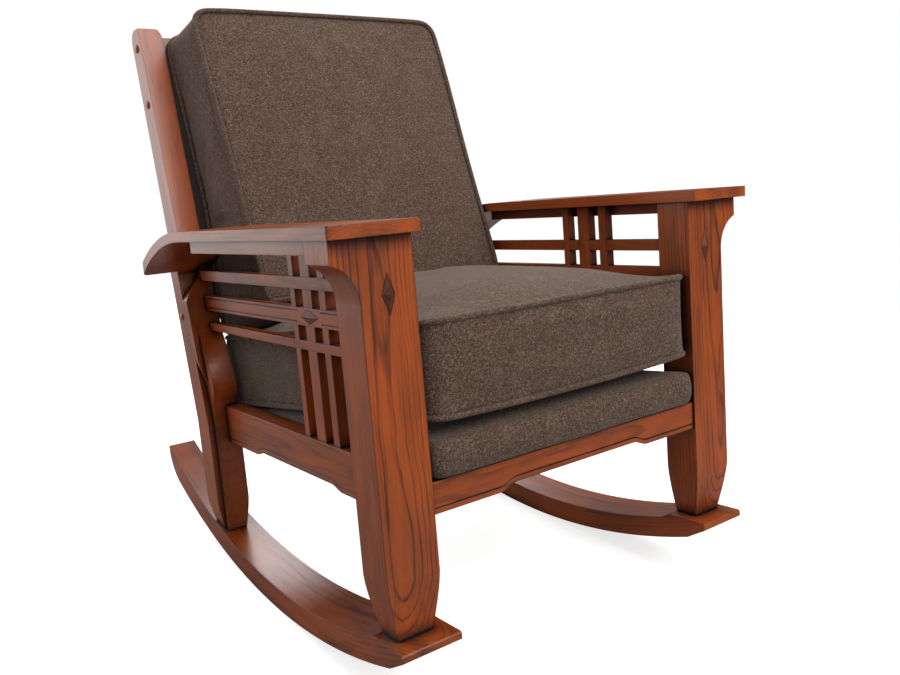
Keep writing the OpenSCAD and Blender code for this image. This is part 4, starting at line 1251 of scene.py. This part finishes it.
@dataclass
class SeatCushion(SoftPiece):
    """The loose cushion of the seat, with piping around its top and its underside.

    Args:
        half: Half its width, in millimetres as all its sizes.
        front: Where its front lies.
        length: Its length.
        corner: Radius of its corners.
        seam_z: Height of the lower seam in front.
        slope: Fall of the cushion towards the rear.
        thick: Height between the seams.
        out: How far the seams stand out from that outline.
        proud: How far the upper seam stands up.
        side_room: How far the sides may swell past the outline.
        under: Share of the height, below the middle, where the underside begins.
        under_room: How far the underside may sink.
        level_from: Where the top stops rising, behind which it meets the back cushion.
        square: Power of the squared rear corners.
        longer: How much longer the rear is stuffed.
        rear: Where that lengthening begins, and over what run.
        sag: How far the front of the underside sags.
        sag_deep: How far behind the front that fades.
        sag_across: Where the sag is deepest, and how far from there it ends.
    """

    half: float = 291.5
    front: float = -4.5
    length: float = 778.0
    corner: float = 36.0
    seam_z: float = 328.0
    slope: float = math.tan(math.radians(6.45))
    thick: float = 140.0
    out: float = -0.5
    proud: float = 1.0
    side_room: float = 3.0
    under: float = 0.42
    under_room: float = 0.2
    level_from: float = 500.0
    square: float = 5.0
    longer: float = 13.0
    rear: Span = (640.0, 137.0)
    sag: float = 7.0
    sag_deep: float = 70.0
    sag_across: Span = (-60.0, 340.0)

    def seams(self) -> List[np.ndarray]:
        """The seams of the underside and of the top."""
        lines = []
        for up in (0.0, self.thick + self.proud):
            line = []
            for x, y, nx, ny in outline(self.corner / self.half, 2 * self.corner / self.length):
                cy = self.front + self.length * (1 + y) / 2 + ny * self.out
                cz = self.seam_z - (cy - self.front) * self.slope + up
                line.append(CHAIR.point(x * self.half + nx * self.out, cy, cz))
            lines.append(np.array(line))
        return lines

    def middle_z(self, y: np.ndarray) -> np.ndarray:
        """Height of the cushion's middle at a depth of the chair."""
        return self.seam_z - (y - self.front) * self.slope + self.thick / 2

    def room(self, co: np.ndarray, start: np.ndarray) -> np.ndarray:
        """Keeps the cloth off the front legs, the deck and the back cushion.

        Args:
            co: Places of the blown up cloth, one a row, in the upright chair.
            start: The same places before it was blown up.

        Returns:
            The places, held.
        """
        held = co.copy()
        edge = self.half + self.side_room
        held[:, 0] = np.clip(co[:, 0], -edge, edge)
        below = start[:, 2] < self.middle_z(start[:, 1]) - self.thick * self.under
        held[below, 2] = np.maximum(co[below, 2], start[below, 2] - self.under_room)
        level = (start[:, 1] > self.level_from) & ~below
        held[level, 2] = np.minimum(co[level, 2], start[level, 2])
        return held

    def settle(self, co: np.ndarray) -> np.ndarray:
        """Squares and lengthens the rear, and lets the front of the underside sag.

        Args:
            co: Places, one a row, in the upright chair.

        Returns:
            The places, moved.
        """
        moved = co.copy()
        u = np.abs(co[:, 0]) - (self.half - self.corner)
        v = co[:, 1] - (self.front + self.length - self.corner)
        inside = (u > 0) & (v > 0)
        run = np.maximum(np.hypot(u, v), TINY)
        power = self.square
        grow = (np.abs(u / run) ** power + np.abs(v / run) ** power) ** (-1 / power)
        moved[inside, 0] += (np.sign(co[:, 0]) * u * (grow - 1))[inside]
        moved[inside, 1] += (v * (grow - 1))[inside]
        rear_y, rear_run = self.rear
        moved[:, 1] += self.longer * np.clip((co[:, 1] - rear_y) / rear_run, 0, 1) ** 2
        front = np.exp(-(((co[:, 1] - self.front) / self.sag_deep) ** 2))
        low = np.clip((self.middle_z(co[:, 1]) - co[:, 2]) / (self.thick / 2), 0, 1)
        deepest, end = self.sag_across
        across = 1 - np.clip(np.abs(co[:, 0] - deepest) / end, 0, 1) ** 2
        moved[:, 2] -= self.sag * front * low * across
        return moved


@dataclass
class BackCushion(SoftPiece):
    """The loose cushion of the back, with piping around its front and its rear.

    Args:
        half_low: Half its width at the bottom, in millimetres as all its sizes.
        half_top: Half its width at the top.
        corner: Radius of the upper corners.
        low_corner: Radius of the lower corners.
        flare: How much wider the top of the rear is.
        low_front: The front's lower end, as y and z.
        low_rear: The rear's lower end.
        top_front: The front's upper end.
        top_rear: The rear's upper end.
        out: How far the seams stand out from that outline.
        proud: How far the front seam stands forward.
        widest: Farthest that a seam lies from the chair's middle plane.
        arm_z: Height of the arms, below which the cushion lies between them.
        low_half: Half the room between the arms.
        high_half: Half the room above them, and what it gains higher up.
        high_run: Height over which it gains that.
        under_room: How far the underside may sink.
        back_room: How far the rear may swell.
        post: Half the room between the posts, and how much less the rear may swell beyond it.
        low_wide: How much wider the low rear is stuffed.
        low_deep: How much deeper it hangs.
        low_run: Height over which the low rear widens.
        rear: Where the rear begins, and over what run.
        hang: Height below which the low rear hangs deeper, and over what run.
    """

    half_low: float = 287.5
    half_top: float = 297.0
    corner: float = 40.0
    low_corner: float = 18.0
    flare: float = 11.0
    low_front: Span = (534.6, 468.4)
    low_rear: Span = (738.6, 400.1)
    top_front: Span = (736.6, 1055.0)
    top_rear: Span = (862.6, 1026.0)
    out: float = -0.5
    proud: float = 2.2
    widest: float = 301.5
    arm_z: float = 640.0
    low_half: float = 291.5
    high_half: Span = (303.0, 12.0)
    high_run: float = 360.0
    under_room: float = 3.2
    back_room: float = 3.0
    post: Span = (310.5, 4.5)
    low_wide: float = 14.5
    low_deep: float = 9.0
    low_run: float = 180.0
    rear: Span = (560.0, 140.0)
    hang: Span = (470.0, 60.0)

    def seams(self) -> List[np.ndarray]:
        """The seams of the front and of the rear."""
        lines = []
        high = math.dist(self.low_front, self.top_front)
        low = self.low_corner / self.corner
        ends = (
            (self.low_front, self.top_front, 0.0, self.proud),
            (self.low_rear, self.top_rear, self.flare, -self.out),
        )
        for (y0, z0), (y1, z1), flare, proud in ends:
            line = []
            run = math.dist((y0, z0), (y1, z1))
            uy, uz = (y1 - y0) / run, (z1 - z0) / run
            for x, v, nx, nv in outline(self.corner / self.half_top, 2 * self.corner / high, low):
                t = (1 + v) / 2
                half = self.half_low + (self.half_top - self.half_low) * t**2 + flare * t**4
                cy = y0 + (y1 - y0) * t + uy * nv * self.out - uz * proud
                cz = z0 + (z1 - z0) * t + uz * nv * self.out + uy * proud
                line.append(CHAIR.point(x * half + nx * self.out, cy, cz))
            lines.append(np.array(line))
        return lines

    def room(self, co: np.ndarray, start: np.ndarray) -> np.ndarray:
        """Keeps the cloth off the arms, the seat cushion, the back rails and the posts.

        Args:
            co: Places of the blown up cloth, one a row, in the upright chair.
            start: The same places before it was blown up.

        Returns:
            The places, held.
        """
        held = co.copy()
        least, gain = self.high_half
        high = least + gain * np.clip((start[:, 2] - self.arm_z) / self.high_run, 0, 1) ** 2
        edge = np.where(start[:, 2] < self.arm_z, self.low_half, high)
        held[:, 0] = np.clip(co[:, 0], -edge, edge)
        slope = (self.low_rear[1] - self.low_front[1]) / (self.low_rear[0] - self.low_front[0])
        floor = self.low_front[1] + (held[:, 1] - self.low_front[0]) * slope - self.under_room
        held[:, 2] = np.maximum(held[:, 2], floor)
        lean = (self.top_rear[0] - self.low_rear[0]) / (self.top_rear[1] - self.low_rear[1])
        wall = self.low_rear[0] + (held[:, 2] - self.low_rear[1]) * lean + self.back_room
        post_x, less = self.post
        wall = np.where(np.abs(held[:, 0]) > post_x, wall - less, wall)
        held[:, 1] = np.minimum(held[:, 1], wall)
        return held

    def settle(self, co: np.ndarray) -> np.ndarray:
        """Widens and deepens the low rear, which fills the space behind the seat cushion.

        Args:
            co: Places, one a row, in the upright chair.

        Returns:
            The places, moved.
        """
        moved = co.copy()
        rear_y, rear_run = self.rear
        low = np.clip((self.arm_z - co[:, 2]) / self.low_run, 0, 1)
        rear = np.clip((co[:, 1] - rear_y) / rear_run, 0, 1)
        moved[:, 0] += co[:, 0] / self.half_low * self.low_wide * rise(low) * rise(rear)
        hang_z, hang_run = self.hang
        moved[:, 2] -= self.low_deep * np.clip((hang_z - co[:, 2]) / hang_run, 0, 1) * rear
        return moved


@dataclass
class SeatDeck(SoftPiece):
    """The fixed padded deck under the seat cushion, which isn't blown up.

    Args:
        rear: Where the deck ends behind, in millimetres as all its sizes.
        over_rail: How far its cover runs on over the rear rail.
        rail_top: Height of the cover's underside there.
        drawn: Length over which the cover is drawn out.
        raised: How far in front of the rear the underside starts to clear the rail.
    """

    rear: float = 703.0
    over_rail: float = 26.0
    rail_top: float = 230.5
    drawn: float = 60.0
    raised: float = 2.0

    def seams(self) -> List[np.ndarray]:
        """None: the deck has no piping."""
        return []

    def room(self, co: np.ndarray, start: np.ndarray) -> np.ndarray:
        """The places before the cover was blown up."""
        return start

    def settle(self, co: np.ndarray) -> np.ndarray:
        """Draws the rear of the cover over the rear rail.

        Args:
            co: Places, one a row, in the upright chair.

        Returns:
            The places, moved.
        """
        moved = co.copy()
        share = np.clip((co[:, 1] - self.rear + self.drawn) / self.drawn, 0, 1)
        moved[:, 1] += self.over_rail * rise(share)
        behind = moved[:, 1] > self.rear - self.raised
        moved[behind, 2] = np.maximum(moved[behind, 2], self.rail_top)
        return moved


# ---------------------------------------------------------------- the studio
WHITE = (1.0, 1.0, 1.0, 1.0)


@dataclass(frozen=True)
class Lamp:
    """A soft rectangular lamp that looks at the chair.

    Args:
        name: Its name.
        place: Where it hangs, in metres.
        size: Its width and height, in metres.
        power: Its power, in watts.
        colour: Its colour.
        target: What it looks at.
    """

    name: str
    place: Tuple[float, float, float]
    size: Span
    power: float
    colour: Colour = (1.0, 1.0, 1.0)
    target: Tuple[float, float, float] = (0.0, 0.0, 0.5)

    def build(self) -> None:
        """Adds the lamp."""
        light = bpy.data.lights.new(self.name, "AREA")
        light.shape = "RECTANGLE"
        light.size, light.size_y = self.size
        light.energy = self.power
        light.color = self.colour
        obj = bpy.data.objects.new(self.name, light)
        bpy.context.collection.objects.link(obj)
        obj.location = self.place
        obj.rotation_mode = "QUATERNION"
        look = Vector(self.target) - Vector(self.place)
        obj.rotation_quaternion = look.to_track_quat("-Z", "Y")


@dataclass(frozen=True)
class PhotoCamera:
    """The camera of the photo, in the upright chair.

    Args:
        place: Where it stands, in millimetres.
        azimuth: Its turn from straight ahead to the right, in degrees.
        elevation: Its tilt up.
        roll: Its roll.
        lens: Focal length, in millimetres.
        sensor: Width of the picture behind the lens, in millimetres.
        clip: Nearest and farthest distance that it sees, in metres.
    """

    place: Tuple[float, float, float] = (-989.6, -1044.2, 649.0)
    azimuth: float = 35.45
    elevation: float = -9.23
    roll: float = -4.61
    lens: float = 35.31
    sensor: float = 36.0
    clip: Span = (0.05, 60.0)

    def build(self) -> bpy.types.Object:
        """Adds the camera and makes it the scene's.

        Returns:
            The camera.
        """
        az, el, ro = (math.radians(v) for v in (self.azimuth, self.elevation, self.roll))
        look = Vector((math.sin(az) * math.cos(el), math.cos(az) * math.cos(el), math.sin(el)))
        level = Vector((math.cos(az), -math.sin(az), 0.0))
        over = level.cross(look)
        right = level * math.cos(ro) + over * math.sin(ro)
        up = over * math.cos(ro) - level * math.sin(ro)
        axes = [CHAIR.way(*v) for v in (right, up, -look)]
        data = bpy.data.cameras.new("camera")
        data.lens = self.lens
        data.sensor_width = self.sensor
        data.clip_start, data.clip_end = self.clip
        obj = bpy.data.objects.new("camera", data)
        bpy.context.collection.objects.link(obj)
        turn = Matrix((axes[0], axes[1], axes[2])).transposed()
        obj.matrix_world = Matrix.Translation(CHAIR.point(*self.place)) @ turn.to_4x4()
        bpy.context.scene.camera = obj
        return obj


@dataclass
class Studio:
    """A white floor under soft light.

    Args:
        lamps: The lamps.
        fill: Light of the surroundings on the chair.
        gloss: What its lacquer mirrors of them.
        floor: The floor's corners, as x, y, x, y in metres.
        seen: The floor's colour for the camera.
        lit: The floor's colour for the light that it throws back on the chair.
        glow: What lifts the seen floor to white.
    """

    lamps: Tuple[Lamp, ...] = (
        Lamp("key", (0.5, -3.2, 3.2), (2.5, 2.5), 116.0, (1.0, 0.98, 0.95)),
        Lamp("top", (0.0, 0.2, 3.6), (2.5, 2.5), 38.0),
        Lamp("back", (1.5, 3.2, 2.4), (2.6, 1.6), 60.0),
        Lamp("left panel", (-2.6, 3.6, 1.5), (3.2, 3.0), 54.0),
    )
    fill: float = 0.55
    gloss: float = 0.075
    floor: Tuple[float, float, float, float] = (-4.0, -1.6, 3.0, 4.5)
    seen: Colour = (0.70, 0.70, 0.70)
    lit: Colour = (0.24, 0.22, 0.21)
    glow: float = 0.72

    def build(self) -> None:
        """Adds the floor, the surroundings and the lamps."""
        mesh = bpy.data.meshes.new("floor")
        x0, y0, x1, y1 = self.floor
        mesh.from_pydata([(x0, y0, 0), (x1, y0, 0), (x1, y1, 0), (x0, y1, 0)], [], [(0, 1, 2, 3)])
        floor = bpy.data.objects.new("floor", mesh)
        bpy.context.collection.objects.link(floor)
        cover_with(floor, self._floor())
        bpy.context.scene.world = self._surroundings()
        for lamp in self.lamps:
            lamp.build()
            log.info("lamp %s", lamp.name)

    def _floor(self) -> bpy.types.Material:
        """The floor's material, white to the camera and darker to the light that it throws back."""
        g = Graph.material("pale floor")
        matt = {"Roughness": 1.0, "Specular IOR Level": 0.0}
        seen = g.node("BsdfPrincipled", {}, {"Base Color": (*self.seen, 1.0), **matt})
        lit = g.node("BsdfPrincipled", {}, {"Base Color": (*self.lit, 1.0), **matt})
        glow = g.node("Emission", {}, {"Color": WHITE, "Strength": self.glow})
        camera = g.node("LightPath", {}, {}, "Is Camera Ray")
        both = g.node("AddShader", {}, {0: seen, 1: glow})
        return g.end(g.node("MixShader", {}, {0: camera, 1: lit, 2: both}))

    def _surroundings(self) -> bpy.types.World:
        """The world, white to the camera and softer on the chair."""
        g = Graph(bpy.data.worlds.new("studio"))
        camera = g.node("LightPath", {}, {}, "Is Camera Ray")
        diffuse = g.node("LightPath", {}, {}, "Is Diffuse Ray")
        strength = camera * (1.0 - self.gloss) + diffuse * (self.fill - self.gloss) + self.gloss
        return g.end(g.node("Background", {}, {"Color": WHITE, "Strength": strength}))


def main() -> None:
    """Builds the chair's looks and the studio, in order."""
    logging.basicConfig(level=logging.INFO, format="%(message)s")
    bpy.context.scene.view_settings.view_transform = "Standard"
    nodes = frame["nodes"]
    WoodenChair().dress(nodes)
    Fittings().dress(nodes)
    sideways = Way.SIDEWAYS.vector
    cloth = FabricFinish().material("chenille", sideways)
    soft = (
        SeatDeck("seat_deck", "frame", fill=0.9, voxel=0.008, pressure=0.0, swell=0.0),
        SeatCushion(
            "seat_cushion", "seat_cushion_body", fill=0.75, voxel=0.0075, pressure=3.0, swell=0.012
        ),
        BackCushion(
            "back_cushion", "back_cushion_body", fill=0.7, voxel=0.0075, pressure=3.0, swell=0.014
        ),
    )
    for piece in soft:
        made = piece.build(nodes, cloth)
        log.info("%s: %s", piece.node, ", ".join(o.name for o in made))
    Studio().build()
    PhotoCamera().build()


if __name__ == "__main__":
    main()
